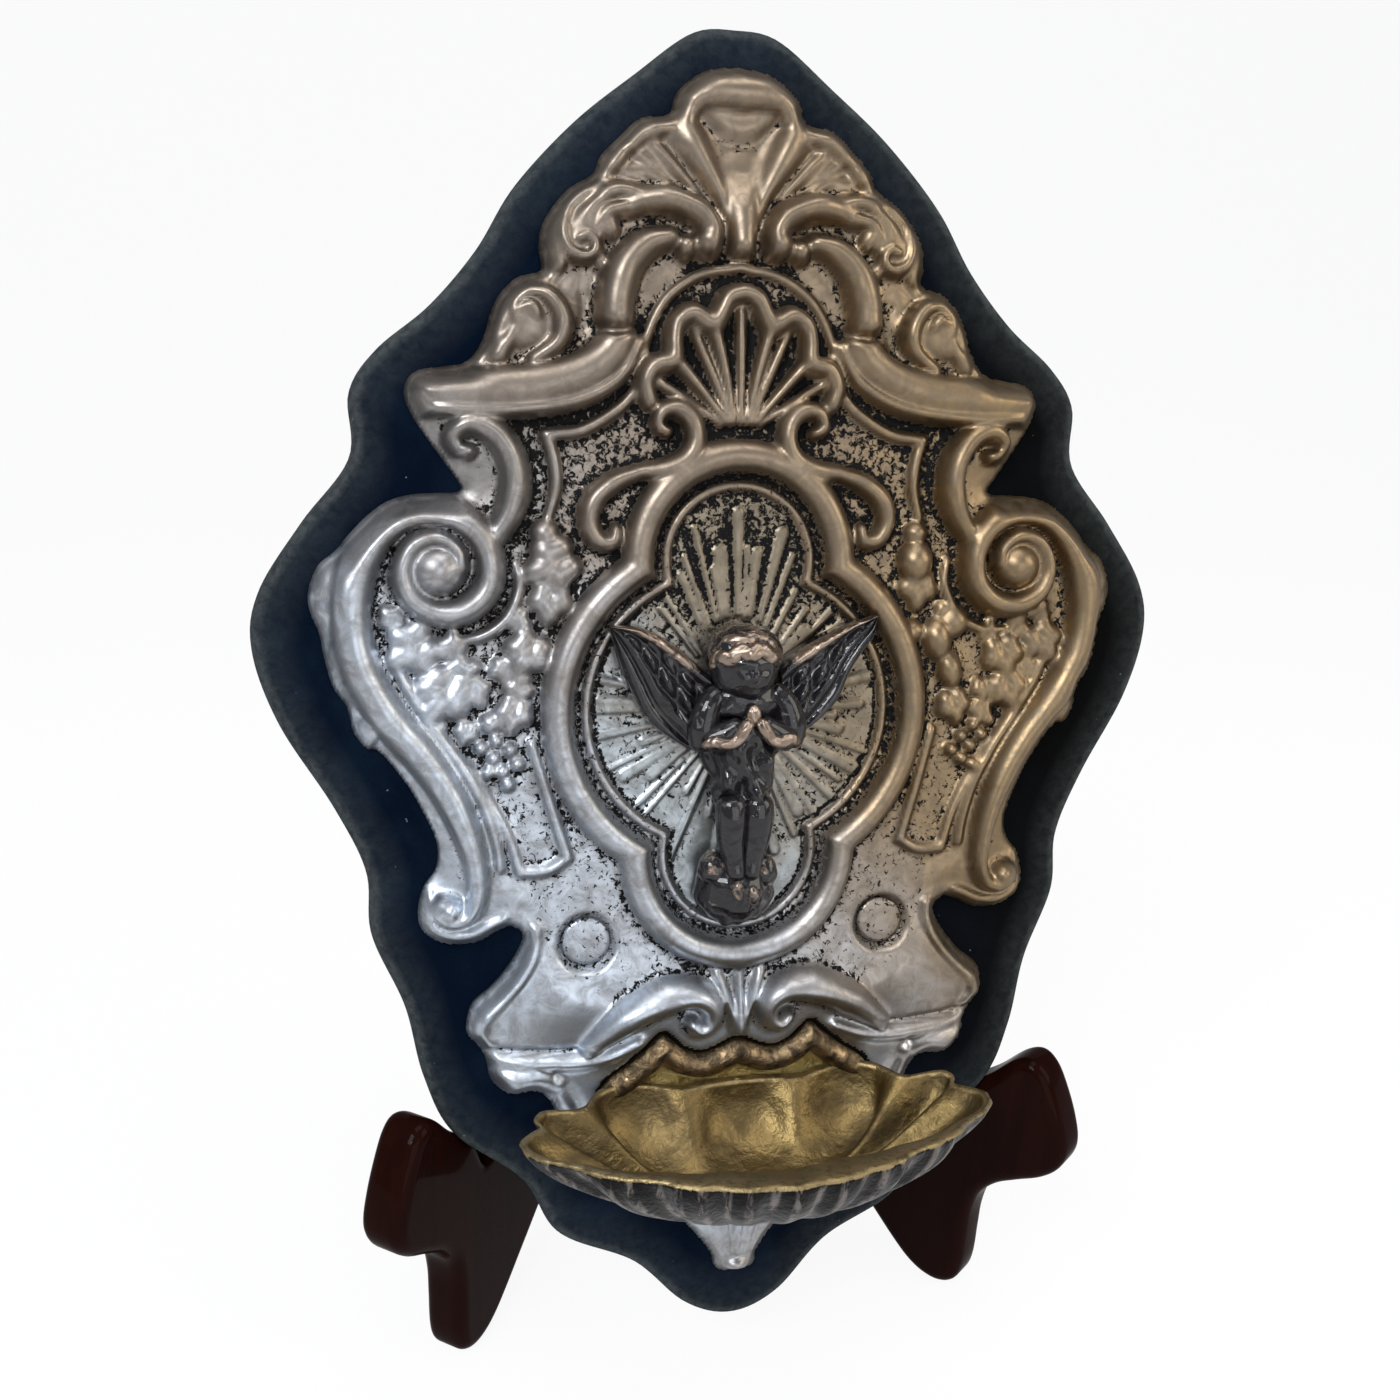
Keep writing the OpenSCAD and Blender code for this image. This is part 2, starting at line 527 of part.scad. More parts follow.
// The bowl: plan of the right half from the back to the front lip, as shares of its half width and projection
bowl_plan = [[0.72, 0], [0.93, 0.18], [1, 0.42], [0.93, 0.68], [0.72, 0.87], [0.4, 0.97], [0, 1]];
bowl_rim = -81.6;
bowl_half = curve([for (p = bowl_plan) [p.x * bowl_w / 2, p.y * bowl_out]], 3);
bowl_line = concat(bowl_half, [for (i = [len(bowl_half) - 2 : -1 : 0]) flip(bowl_half[i])]);
bowl_steps = 6;
// The bowl's back stays flat down to this angle, where the rivets hold it, and then slopes forward
bowl_flat = 18;
function bowl_forward(a) = bowl_low_out * pow(max(a - bowl_flat, 0) / (90 - bowl_flat), 1.2);
function bowl_wave(i, f) =
  1 - flute_d / bowl_out * (1 - cos(360 * bowl_flutes * i / (len(bowl_line) - 1))) * f / 2;

// A fluted boat-shaped dish with a straight back, drawn in by a wall thickness
module dish(wall, rise) {
  n = len(bowl_line);
  rim_y = bowl_rim * plaque_k.y;
  k = [1 - 2 * wall / bowl_w, 1 - 2 * wall / bowl_out];
  function at(i, a, y) = let (p = bowl_line[i], g = cos(a) * bowl_wave(i, cos(a)))
    [p.x * k.x * g, y, bowl_z + wall + p.y * k.y * g + bowl_forward(a)];
  rows = [for (s = [0 : bowl_steps - 1])
    let (a = 90 * s / bowl_steps) [for (i = [0 : n - 1]) at(i, a, rim_y - (bowl_d - wall) * sin(a))]];
  top = rise > 0 ? [[for (i = [0 : n - 1]) at(i, 0, rim_y + rise)]] : [];
  rings = concat(top, rows);
  m = len(rings);
  points = concat([for (r = rings, q = r) q], [[0, rim_y - (bowl_d - wall), bowl_z + wall + bowl_low_out]]);
  tip = m * n;
  sides = [for (i = [0 : m - 2], j = [0 : n - 2])
    let (a = i * n + j) each [[a, a + n + 1, a + 1], [a, a + n, a + n + 1]]];
  base = [for (j = [0 : n - 2]) [(m - 1) * n + j, tip, (m - 1) * n + j + 1]];
  lid = [[for (j = [0 : n - 1]) j]];
  back = [for (i = [0 : m - 2]) [(i + 1) * n, i * n, i * n + n - 1, (i + 1) * n + n - 1]];
  foot = [[(m - 1) * n, (m - 1) * n + n - 1, tip]];
  polyhedron(points, concat(sides, base, lid, back, foot), convexity = 8);
}

module bowl_shell() color("darkkhaki") stoup_frame() skin() difference() {
  dish(0, 0);
  dish(bowl_wall, 1);
  for (p = rivet_at) translate([p.x * plaque_k.x, p.y * plaque_k.y, bowl_z - 1])
    cylinder(r = rivet_r + hole_gap, h = bowl_wall + 2, $fn = 10);
}

module bowl_back_plate() color("gold") stoup_frame() difference() {
  half = [[0, -76], [8, -79], [17, -73], [24, -76], [30, -83], [31, -90], [25, -97], [13, -103], [0, -104.5]];
  translate([0, 0, sheet_t]) linear_extrude(back_plate_t) polygon(both_halves(stretch(half, plaque_k), 3));
  for (p = rivet_at) nail_hole(on_plaque(p), rivet_r);
}

module bowl_rivets() color("khaki") stoup_frame() for (p = rivet_at)
  translate([p.x * plaque_k.x, p.y * plaque_k.y, 0]) {
    translate([0, 0, 0.3]) cylinder(r = rivet_r, h = bowl_z + bowl_wall + 0.3);
    translate([0, 0, bowl_z + bowl_wall]) cylinder(r1 = rivet_r * 1.9, r2 = rivet_r * 1.2, h = 0.8);
  }

eye_at = [0, hanger_y, back_z - hanger_t - eye_out];
eye_lug_t = 2;
eye_r = ring_wire_r + eye_gap;

module hanger_plate() color("peru") stoup_frame() difference() {
  union() {
    translate([-hanger_w / 2, hanger_screw_at[1], back_z - hanger_t])
      cube([hanger_w, hanger_screw_at[0] - hanger_screw_at[1], hanger_t]);
    for (y = hanger_screw_at) translate([0, y, back_z - hanger_t]) cylinder(r = hanger_w / 2, h = hanger_t);
    translate([-eye_lug_t / 2, hanger_y, 0]) rotate([0, 90, 0]) {
      translate([-eye_at.z, 0, 0]) cylinder(r = eye_r + 1.6, h = eye_lug_t);
      translate([-back_z + hanger_t / 2, -eye_r - 1.6, 0])
        cube([eye_out + hanger_t / 2, 2 * eye_r + 3.2, eye_lug_t]);
    }
  }
  translate([-eye_lug_t, hanger_y, eye_at.z]) rotate([0, 90, 0]) cylinder(r = eye_r, h = 2 * eye_lug_t);
  for (y = hanger_screw_at)
    translate([0, y, back_z - hanger_t - 1]) cylinder(r = screw_r + hole_gap, h = hanger_t + 2);
}

module hanger_screws() color("darkgoldenrod") stoup_frame() for (y = hanger_screw_at)
  translate([0, y, back_z - hanger_t - hanger_screw_head]) {
    cylinder(r1 = screw_r * 1.2, r2 = screw_r * 2, h = hanger_screw_head);
    cylinder(r = screw_r, h = hanger_screw_head + hanger_t + core_back - back_z + screw_l);
  }

// The ring hangs plumb, so it stands off the leaning back
module hanging_ring() color("goldenrod") stoup_frame() translate(eye_at) rotate([lean, 0, 0])
  translate([0, -ring_r, 0]) rotate_extrude() translate([ring_r, 0]) circle(ring_wire_r);

// The stand: the board's origin stands so high that its lowest point clears the floor
middle_z = tip_lift - board_low * cos(lean) - back_z * sin(lean);
// The hinge's axis lies this far behind the board's origin
hinge_y = 64 * board_k.x;
// Half the gap between the folded legs
fold_gap = 0.3;
// The leg's inner face crosses the board's lower edge at depth z: distance from the axis, and height
low_edge = [for (q = [for (i = [36 : 44]) board_line[i]]) [q.x, q.y]];
function edge_y(x) = lookup(x, low_edge);
function crossing(z, x, n) =
  let (y = edge_y(x), depth = y * sin(lean) - z * cos(lean), s = (hinge_y - depth) / cos(splay),
    h = middle_z + y * cos(lean) + z * sin(lean))
  n == 0 ? [s, h] : crossing(z, s * sin(splay), n - 1);
seat_front = crossing(0, 62 * board_k.x, 8);
seat_back = crossing(back_z, 54 * board_k.x, 8);
// The upright's front edge follows the board's back, which its rounded inner corner meets
leg_bevel = 0.3;
corner_cut = leg_bevel * leg_round * (cos(splay) + sin(splay)) / cos(splay);
function back_line(h) =
  (hinge_y - ((h - middle_z) * sin(lean) - back_z + rest_gap) / cos(lean)) / cos(splay)
  + fold_gap * tan(splay) + corner_cut;
// The seat meets the board's rounded edge between its faces, so it stands a little above its corners
seat_rise = 1.75;
leg_edge = knuckle_r + leaf_gap;
toe_s = seat_front.x + 4;
leg_half = concat(
  [[leg_edge, 0], [leg_edge + foot_l, 0]],
  curve([[leg_edge + foot_l + 2, 2.4], [leg_edge + foot_l + 14, arch_h * 0.62],
    [(leg_edge + toe_s) / 2, arch_h], [toe_s - 27 - foot_l, arch_h * 0.58], [toe_s - 9 - foot_l, 2.4]], 2),
  [[toe_s - 6 - foot_l, 0], [toe_s - 7, 0]],
  [[toe_s - 5, 2.4], [toe_s - 3.6, 16], [toe_s - 3.4, 30], [toe_s + 2, 38], [toe_s + 12, 46.5],
    [toe_s + 17.2, 52]],
  curve([[toe_s + 17.6, 57], [toe_s + 12.4, 68], [toe_s + 9.4, 74]], 2),
  curve([[toe_s + 7.4, 76], [toe_s + 4, 74.6], seat_front + [0, seat_rise - rest_gap],
    (seat_front + seat_back) / 2 + [0, seat_rise - rest_gap - 1.5],
    [back_line(seat_back.y - 4) + 2, seat_back.y - 4]], 2),
  [[back_line(seat_back.y - 3), seat_back.y - 3], [back_line(upright_h - 5), upright_h - 5]],
  curve([[back_line(upright_h) - 3, upright_h], [back_line(upright_h) - upright_w / 2, upright_h + 2.4],
    [back_line(upright_h) - upright_w + 2, upright_h - 2]], 2),
  curve([[back_line(upright_h) - upright_w - 1, upright_h - 12], [leg_edge + 26, hinge_edge_h + 18],
    [leg_edge + 10, hinge_edge_h + 3], [leg_edge + 3, hinge_edge_h]], 2),
  [[leg_edge, hinge_edge_h - 3]]
);
leaf_w = leg_t - 1.2;
hinge_screw_at = [hinge_z + hinge_l / 6, hinge_z + hinge_l / 2, hinge_z + hinge_l * 5 / 6];
hinge_screw_off = fold_gap + leg_t / 2 + 0.6;
knuckle_l = hinge_l / 3;

// Turns the right leg's plane, distance from the axis by height, to its place
module leg_frame() stand_frame()
  translate([0, hinge_y, 0]) rotate([0, 0, splay - 90]) rotate([90, 0, 0]) children();

module screw_row(extra, head) for (h = hinge_screw_at)
  translate([0, h, -hinge_screw_off]) rotate([0, 90, 0]) {
    translate([0, 0, leg_edge - leaf_t - extra])
      cylinder(r = screw_r + extra, h = screw_l + leaf_t + 2 * extra);
    if (head) translate([0, 0, leg_edge - leaf_t - 0.9])
      cylinder(r1 = screw_r * 1.3, r2 = screw_r * 1.9, h = 0.9);
  }

module leg_blank() {
  r = leg_round;
  outline = [for (i = [len(leg_half) - 1 : -1 : 0]) leg_half[i]];
  function deep(d, z) = lift(inset(outline, d), -fold_gap - z);
  skin() loft([deep(r, 0), deep(r * leg_bevel, r * leg_bevel), deep(0, r), deep(0, leg_t - r),
    deep(r * leg_bevel, leg_t - r * leg_bevel), deep(r, leg_t)]);
}

module leg() leg_frame() difference() {
  leg_blank();
  screw_row(hole_gap, false);
}

module stand_leg_right() color("maroon") leg();
module stand_leg_left() color("darkred") mirror([1, 0, 0]) leg();

// A leaf lies on the leg's hinged edge and carries its share of the knuckles
module leaf(own, other) leg_frame() difference() {
  union() {
    translate([leg_edge - leaf_t, hinge_z, -fold_gap - leaf_w]) cube([leaf_t, hinge_l, fold_gap + leaf_w]);
    for (k = own) translate([0, hinge_z + k * knuckle_l + leaf_gap / 2, 0]) rotate([-90, 0, 0])
      cylinder(r = knuckle_r, h = knuckle_l - leaf_gap);
  }
  for (k = other) translate([0, hinge_z + k * knuckle_l - leaf_gap / 2, 0]) rotate([-90, 0, 0])
    cylinder(r = knuckle_r + leaf_gap, h = knuckle_l + leaf_gap);
  translate([0, hinge_z - 1, 0]) rotate([-90, 0, 0]) cylinder(r = pin_r + pin_gap, h = hinge_l + 2);
  screw_row(hole_gap, false);
}

module hinge_leaf_right() color("goldenrod") leaf([1], [0, 2]);
module hinge_leaf_left() color("darkgoldenrod") mirror([1, 0, 0]) leaf([0, 2], [1]);

module hinge_pin() color("gray") leg_frame()
  translate([0, hinge_z, 0]) rotate([-90, 0, 0]) cylinder(r = pin_r, h = hinge_l);

module hinge_screws_right() color("khaki") leg_frame() screw_row(0, true);
module hinge_screws_left() color("khaki") mirror([1, 0, 0]) leg_frame() screw_row(0, true);

// Depth of the whole object, whose middle is the frame's zero
bowl_reach = max([for (i = [0 : len(bowl_line) - 1]) bowl_line[i].y * bowl_wave(i, 1)]);
front_y = bowl_rim * plaque_k.y * sin(lean) - (bowl_z + bowl_reach) * cos(lean);
rear_y = hinge_y - (leg_edge + leg_bevel * leg_round) * cos(splay)
  + (fold_gap + leg_t - leg_bevel * leg_round) * sin(splay);
depth_middle = (front_y + rear_y) / 2;

backing_board();
velvet_cover();
back_lining();
lining_tacks();
silver_plaque();
glory_plate();
angel_figure();
angel_studs();
plaque_nails();
bowl_shell();
bowl_back_plate();
bowl_rivets();
hanger_plate();
hanger_screws();
hanging_ring();
stand_leg_left();
stand_leg_right();
hinge_leaf_left();
hinge_leaf_right();
hinge_pin();
hinge_screws_left();
hinge_screws_right();
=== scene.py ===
import math

import bmesh
import bpy
import numpy as np
from mathutils import Matrix, Vector
from mathutils.geometry import tessellate_polygon


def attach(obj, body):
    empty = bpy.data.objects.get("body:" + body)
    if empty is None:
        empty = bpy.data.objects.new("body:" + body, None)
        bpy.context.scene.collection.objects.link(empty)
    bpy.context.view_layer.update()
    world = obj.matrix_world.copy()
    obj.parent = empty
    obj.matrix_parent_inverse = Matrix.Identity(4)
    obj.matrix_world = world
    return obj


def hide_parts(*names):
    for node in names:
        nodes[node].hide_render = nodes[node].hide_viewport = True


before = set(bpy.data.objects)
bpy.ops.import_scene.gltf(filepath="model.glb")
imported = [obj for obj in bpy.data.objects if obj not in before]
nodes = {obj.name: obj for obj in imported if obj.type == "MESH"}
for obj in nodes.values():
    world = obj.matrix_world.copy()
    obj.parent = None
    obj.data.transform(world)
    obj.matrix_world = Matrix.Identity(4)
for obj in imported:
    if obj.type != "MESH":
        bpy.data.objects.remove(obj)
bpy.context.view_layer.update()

# Backing board
# A softwood core sawn to a scalloped outline. The cover is stretched over it
# and the plaque's nails go into it, so it shows nowhere once it is lined.
SOFTWOOD_DARK = (0.30, 0.18, 0.09, 1)
SOFTWOOD_PALE = (0.52, 0.36, 0.20, 1)


def blank_finish(name):
    """A new material, its node tree and its principled shader."""
    finish = bpy.data.materials.new(name)
    finish.use_nodes = True
    return finish, finish.node_tree, finish.node_tree.nodes["Principled BSDF"]


def plug(tree, node, sockets):
    """Fills a shader node's sockets: an output is linked to its socket, and any other value is set on it."""
    for key, value in sockets.items():
        if isinstance(value, bpy.types.NodeSocket):
            tree.links.new(value, node.inputs[key])
        else:
            node.inputs[key].default_value = value


def wire(tree, kind, sockets, **settings):
    """One new shader node, with its settings made and its sockets filled."""
    made = tree.nodes.new(kind)
    for key, value in settings.items():
        setattr(made, key, value)
    plug(tree, made, sockets)
    return made


def place_of(tree, stretch=(1, 1, 1), turn=(0, 0, 0)):
    """The piece's own coordinates in metres, turned and then stretched along each axis."""
    place = wire(tree, "ShaderNodeTexCoord", {}).outputs["Object"]
    sockets = {"Vector": place, "Scale": stretch, "Rotation": turn}
    return wire(tree, "ShaderNodeMapping", sockets).outputs["Vector"]


def mottle(tree, place, scale, detail=4.0, rough=0.55, warp=0.0):
    """Cloudy noise between 0 and 1, with a period of about one over scale metres."""
    sockets = {"Vector": place, "Scale": scale, "Detail": detail, "Roughness": rough, "Distortion": warp}
    return wire(tree, "ShaderNodeTexNoise", sockets).outputs[0]


def ease(tree, value, low, high, start=0.0, end=1.0):
    """A smooth step of value from low to high, given between start and end."""
    sockets = {"Value": value, "From Min": low, "From Max": high, "To Min": start, "To Max": end}
    return wire(tree, "ShaderNodeMapRange", sockets, interpolation_type="SMOOTHSTEP").outputs["Result"]


def tint(tree, share, first, second):
    """A colour mixed from first to second by share."""
    return wire(tree, "ShaderNodeMixRGB", {"Fac": share, "Color1": first, "Color2": second}).outputs["Color"]


def reckon(tree, how, first, second):
    """One arithmetic step on two values."""
    return wire(tree, "ShaderNodeMath", {0: first, 1: second}, operation=how).outputs["Value"]


def plus(tree, first, second, weight=1.0):
    """The first value plus weight times the second."""
    return reckon(tree, "ADD", first, reckon(tree, "MULTIPLY", second, weight))


def ripple(tree, height, depth, strength=1.0):
    """A bumped normal from a height between 0 and 1 that is worth depth metres."""
    sockets = {"Height": height, "Distance": depth, "Strength": strength}
    return wire(tree, "ShaderNodeBump", sockets).outputs["Normal"]


def dress(finish, *names):
    """Gives CAD nodes one finish."""
    for name in names:
        nodes[name].data.materials.clear()
        nodes[name].data.materials.append(finish)


softwood, tree, shader = blank_finish("softwood")
grain = mottle(tree, place_of(tree, (1, 1, 0.08)), 420, 5, 0.6, 0.4)
plug(tree, shader, {"Base Color": tint(tree, grain, SOFTWOOD_DARK, SOFTWOOD_PALE), "Roughness": 0.7})
dress(softwood, "backing_board")

# Velvet cover
# One piece of navy-black cotton velvet, pulled tight over the board's face and
# rounded edge and turned in over the back, where the lining's tacks hold it.
LEAN = math.radians(12)
STOUP_AT = np.array([0.0, -0.595, 154.2])
BOARD_HALF = [
    (0, 136.6), (9, 135.3), (20.6, 126.8), (32.9, 116.9), (44.7, 104.2), (52.4, 91.9), (61.7, 81.1),
    (72.1, 72.4), (77.6, 64), (78, 51.5), (87.6, 38.8), (96.2, 25.4), (98, 14), (93.5, -1.1),
    (83.7, -18.5), (77.8, -32.5), (77.2, -46), (71, -62), (67.6, -78.1), (61.7, -91.5), (47.3, -103.8),
    (39.5, -117.5), (22.8, -126.6), (11, -138.4), (0, -142.4),
]
VELVET_STEP = 1.7
VELVET_EDGE_R = 3.0
VELVET_FACE_Z = -0.05
VELVET_FACE_RINGS = 14
VELVET_WALL_Z = (-5.5, -8.8)
VELVET_BACK_R = 2.0
VELVET_BACK_Z = -13.2
VELVET_TURN = 7.0
# How far the pile is worn and lit with painted sheen, by the number of the ring from the middle of the
# face to the turned edge
WEAR_AND_SHEEN_RING = [12, 15, 21, 23]
WEAR_AND_SHEEN_SHARE = [0, 0.8, 1, 0.4]
VELVET_NAVY = (0.0004, 0.0028, 0.0090, 1)
VELVET_WORN = (0.0030, 0.0080, 0.017, 1)
VELVET_WORN_EDGE_AND_SHEEN = (0.060, 0.068, 0.068, 1)
# The cloth at its right side, darker and warmer as painted shade
VELVET_WARM_SHADED = (0.0016, 0.0014, 0.0008, 1)
VELVET_LINT = (0.10, 0.12, 0.14, 1)
VELVET_SHEEN = (0.40, 0.56, 0.74, 1)


def on_stand(points):
    """Stoup millimetres (x right, y up the board, z out of its face) leant back and set on the stand, in
    metres."""
    x, y, z = np.moveaxis(np.asarray(points, float), -1, 0)
    back = y * math.sin(LEAN) - z * math.cos(LEAN)
    up = y * math.cos(LEAN) + z * math.sin(LEAN)
    return (np.stack([x, back, up], -1) + STOUP_AT) / 1000


def smooth_line(points, step, closed=False):
    """A Catmull-Rom curve through the points, with new points at equal steps along it."""
    knots = np.asarray(points, float)
    if closed:
        padded = np.concatenate([knots[-1:], knots, knots[:2]])
    else:
        padded = np.concatenate([2 * knots[:1] - knots[1:2], knots, 2 * knots[-1:] - knots[-2:-1]])
    spans = len(padded) - 3
    a, b, c, d = (padded[i : i + spans, None] for i in range(4))
    t = np.linspace(0, 1, 24, endpoint=False)[:, None]
    fine = b + (c - a) * t / 2 + (2 * a - 5 * b + 4 * c - d) * t**2 / 2 + (3 * b - a - 3 * c + d) * t**3 / 2
    fine = np.concatenate([fine.reshape(-1, knots.shape[1]), padded[-2:-1]])
    along = np.concatenate([[0], np.cumsum(np.linalg.norm(np.diff(fine, axis=0), axis=1))])
    at = np.linspace(0, along[-1], max(int(round(along[-1] / step)), 2) + 1)
    line = np.stack([np.interp(at, along, column) for column in fine.T], -1)
    return line[:-1] if closed else line


def mirrored(half):
    """A half outline, top to bottom at x of zero or more, closed by its mirror image."""
    half = np.asarray(half, float)
    return np.concatenate([half, half[-2:0:-1] * (-1, 1)])


def drawn_in(line, depth):
    """A closed clockwise line moved inward along its normals."""
    along = np.roll(line, -1, 0) - np.roll(line, 1, 0)
    normal = np.stack([along[:, 1], -along[:, 0]], -1) / np.linalg.norm(along, axis=1)[:, None]
    return line + normal * np.reshape(depth, (-1, 1))


def level(line, z):
    """A flat line lifted to height z."""
    return np.column_stack([line, np.broadcast_to(z, len(line))])


def quarter_round(line, radius, top, down=1):
    """Rings of a rounded edge: from a radius inside the line, at the top, out to the line, a radius down."""
    turns = np.linspace(0, math.pi / 2, 7)
    drops = [down * radius * (1 - math.cos(turn)) for turn in turns]
    insets = [radius * (1 - math.sin(turn)) for turn in turns]
    return [level(drawn_in(line, inset), top - drop) for inset, drop in zip(insets, drops)]


def grid_faces(rows, columns, wrap=False):
    """Four-sided faces over a grid of points stored row by row, closed round its columns if wrap."""
    i, j = np.meshgrid(np.arange(rows - 1), np.arange(columns if wrap else columns - 1), indexing="ij")
    k = (j + 1) % columns
    corners = [i * columns + j, i * columns + k, (i + 1) * columns + k, (i + 1) * columns + j]
    return np.stack(corners, -1).reshape(-1, 4)


def outward(points, faces):
    """The faces of a closed shape, turned round if its signed volume is negative."""
    a, b, c, d = (points[faces[:, i]] for i in range(4))
    volume = (a * np.cross(b, c)).sum() + (a * np.cross(c, d)).sum()
    return faces if volume > 0 else faces[:, ::-1]


def new_piece(name, points, faces, finish, body, node, marks=None):
    """A smooth-shaded piece from points in metres and faces of equal size, with the marks that its finish
    reads as point attributes, riding on its body in place of a CAD node. Doubled points are merged."""
    mesh = bpy.data.meshes.new(name)
    mesh.vertices.add(len(points))
    mesh.vertices.foreach_set("co", np.ascontiguousarray(points, np.float32).ravel())
    mesh.loops.add(faces.size)
    mesh.loops.foreach_set("vertex_index", np.ascontiguousarray(faces, np.int32).ravel())
    mesh.polygons.add(len(faces))
    mesh.polygons.foreach_set("loop_start", np.arange(0, faces.size, faces.shape[1], dtype=np.int32))
    mesh.update(calc_edges=True)
    for key, values in (marks or {}).items():
        mark = mesh.attributes.new(key, "FLOAT", "POINT")
        mark.data.foreach_set("value", np.ascontiguousarray(values, np.float32).ravel())
    work = bmesh.new()
    work.from_mesh(mesh)
    bmesh.ops.remove_doubles(work, verts=work.verts, dist=1e-6)
    work.to_mesh(mesh)
    work.free()
    mesh.shade_smooth()
    mesh.materials.append(finish)
    piece = bpy.data.objects.new(name, mesh)
    bpy.context.scene.collection.objects.link(piece)
    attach(piece, body)
    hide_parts(node)
    return piece


def stoup_piece(name, points, faces, finish, node, marks=None):
    """A new piece on the stoup, from points in the stoup's millimetres."""
    return new_piece(name, on_stand(points), faces, finish, "stoup", node, marks)


def mark_of(tree, name):
    """A mark that was given to the piece's points."""
    return wire(tree, "ShaderNodeAttribute", {}, attribute_name=name).outputs["Fac"]


velvet_finish, tree, shader = blank_finish("navy_velvet")
place = place_of(tree)
nap = mottle(tree, place, 55, 3, 0.6, 0.5)
pile = mottle(tree, place, 2600, 2, 0.7)
rubbed = ease(tree, plus(tree, nap, pile, 0.35), 0.55, 0.95)
lint = ease(tree, mottle(tree, place, 900, 1, 0.4), 0.80, 0.86)
rightward = wire(tree, "ShaderNodeSeparateXYZ", {"Vector": place}).outputs["X"]
brushed = ease(tree, mottle(tree, place, 480, 5, 0.7, 0.4), 0.25, 0.75, 0.30, 1.0)
cloth = tint(tree, rubbed, VELVET_NAVY, VELVET_WORN)
# Painted shade: the cloth turns darker and warmer towards the right
cloth = tint(tree, ease(tree, rightward, -0.02, 0.08, 0.0, 0.9), cloth, VELVET_WARM_SHADED)
# The rounded edge is lighter: worn pile, and painted sheen
cloth = tint(tree, reckon(tree, "MULTIPLY", mark_of(tree, "edge"), brushed), cloth, VELVET_WORN_EDGE_AND_SHEEN)
plug(tree, shader, {
    "Base Color": tint(tree, lint, cloth, VELVET_LINT),
    "Normal": ripple(tree, pile, 0.00025, 0.6),
    "Roughness": 0.95,
    "Specular IOR Level": 0.05,
    "Sheen Weight": 0.01,
    "Sheen Roughness": 0.28,
    "Sheen Tint": VELVET_SHEEN,
})

edge_line = smooth_line(mirrored(BOARD_HALF), VELVET_STEP, closed=True)
face_rim = drawn_in(edge_line, VELVET_EDGE_R)
rings = [level(face_rim * share, VELVET_FACE_Z) for share in np.linspace(0, 1, VELVET_FACE_RINGS)]
rings += quarter_round(edge_line, VELVET_EDGE_R, VELVET_FACE_Z)[1:]
rings += [level(edge_line, z) for z in VELVET_WALL_Z]
rings += quarter_round(edge_line, VELVET_BACK_R, VELVET_BACK_Z, -1)[::-1]
rings.append(level(drawn_in(edge_line, VELVET_TURN), VELVET_BACK_Z))
velvet_faces = grid_faces(len(rings), len(edge_line), wrap=True)[:, ::-1]
edge_wear_and_sheen = np.interp(np.arange(len(rings)), WEAR_AND_SHEEN_RING, WEAR_AND_SHEEN_SHARE).repeat(len(edge_line))
velvet_points = np.concatenate(rings)
marks = {"edge": edge_wear_and_sheen}
velvet = stoup_piece("velvet", velvet_points, velvet_faces, velvet_finish, "velvet_cover", marks)

# Back lining and its tacks
# A dark card glued over the velvet's turned edge, so that no raw edge shows on
# the back, and brass dome-headed tacks driven through it into the core. The
# hanger, its ring and the stand's hinge are of the same aged brass.
LINING_DARK = (0.045, 0.032, 0.024, 1)
LINING_PALE = (0.10, 0.075, 0.055, 1)
BRASS_BRIGHT = (0.50, 0.34, 0.13, 1)
BRASS_TONED = (0.16, 0.095, 0.04, 1)
lining_finish, tree, shader = blank_finish("lining_card")
card = mottle(tree, place_of(tree), 90, 6, 0.65, 0.3)
fibre = mottle(tree, place_of(tree, (1, 1, 0.2)), 1500, 3, 0.6)
plug(tree, shader, {
    "Base Color": tint(tree, card, LINING_DARK, LINING_PALE),
    "Normal": ripple(tree, fibre, 0.0002, 0.5),
    "Roughness": 0.9,
})
dress(lining_finish, "back_lining")

brass_finish, tree, shader = blank_finish("aged_brass")
toned = ease(tree, mottle(tree, place_of(tree), 260, 6, 0.7, 0.6), 0.35, 0.75)
plug(tree, shader, {
    "Base Color": tint(tree, toned, BRASS_BRIGHT, BRASS_TONED),
    "Roughness": ease(tree, toned, 0, 1, 0.28, 0.5),
    "Metallic": 1.0,
})
dress(brass_finish, "lining_tacks", "hanger_plate", "hanger_screws", "hanging_ring", "hinge_pin")
for name in ("left", "right"):
    dress(brass_finish, "hinge_leaf_" + name, "hinge_screws_" + name)
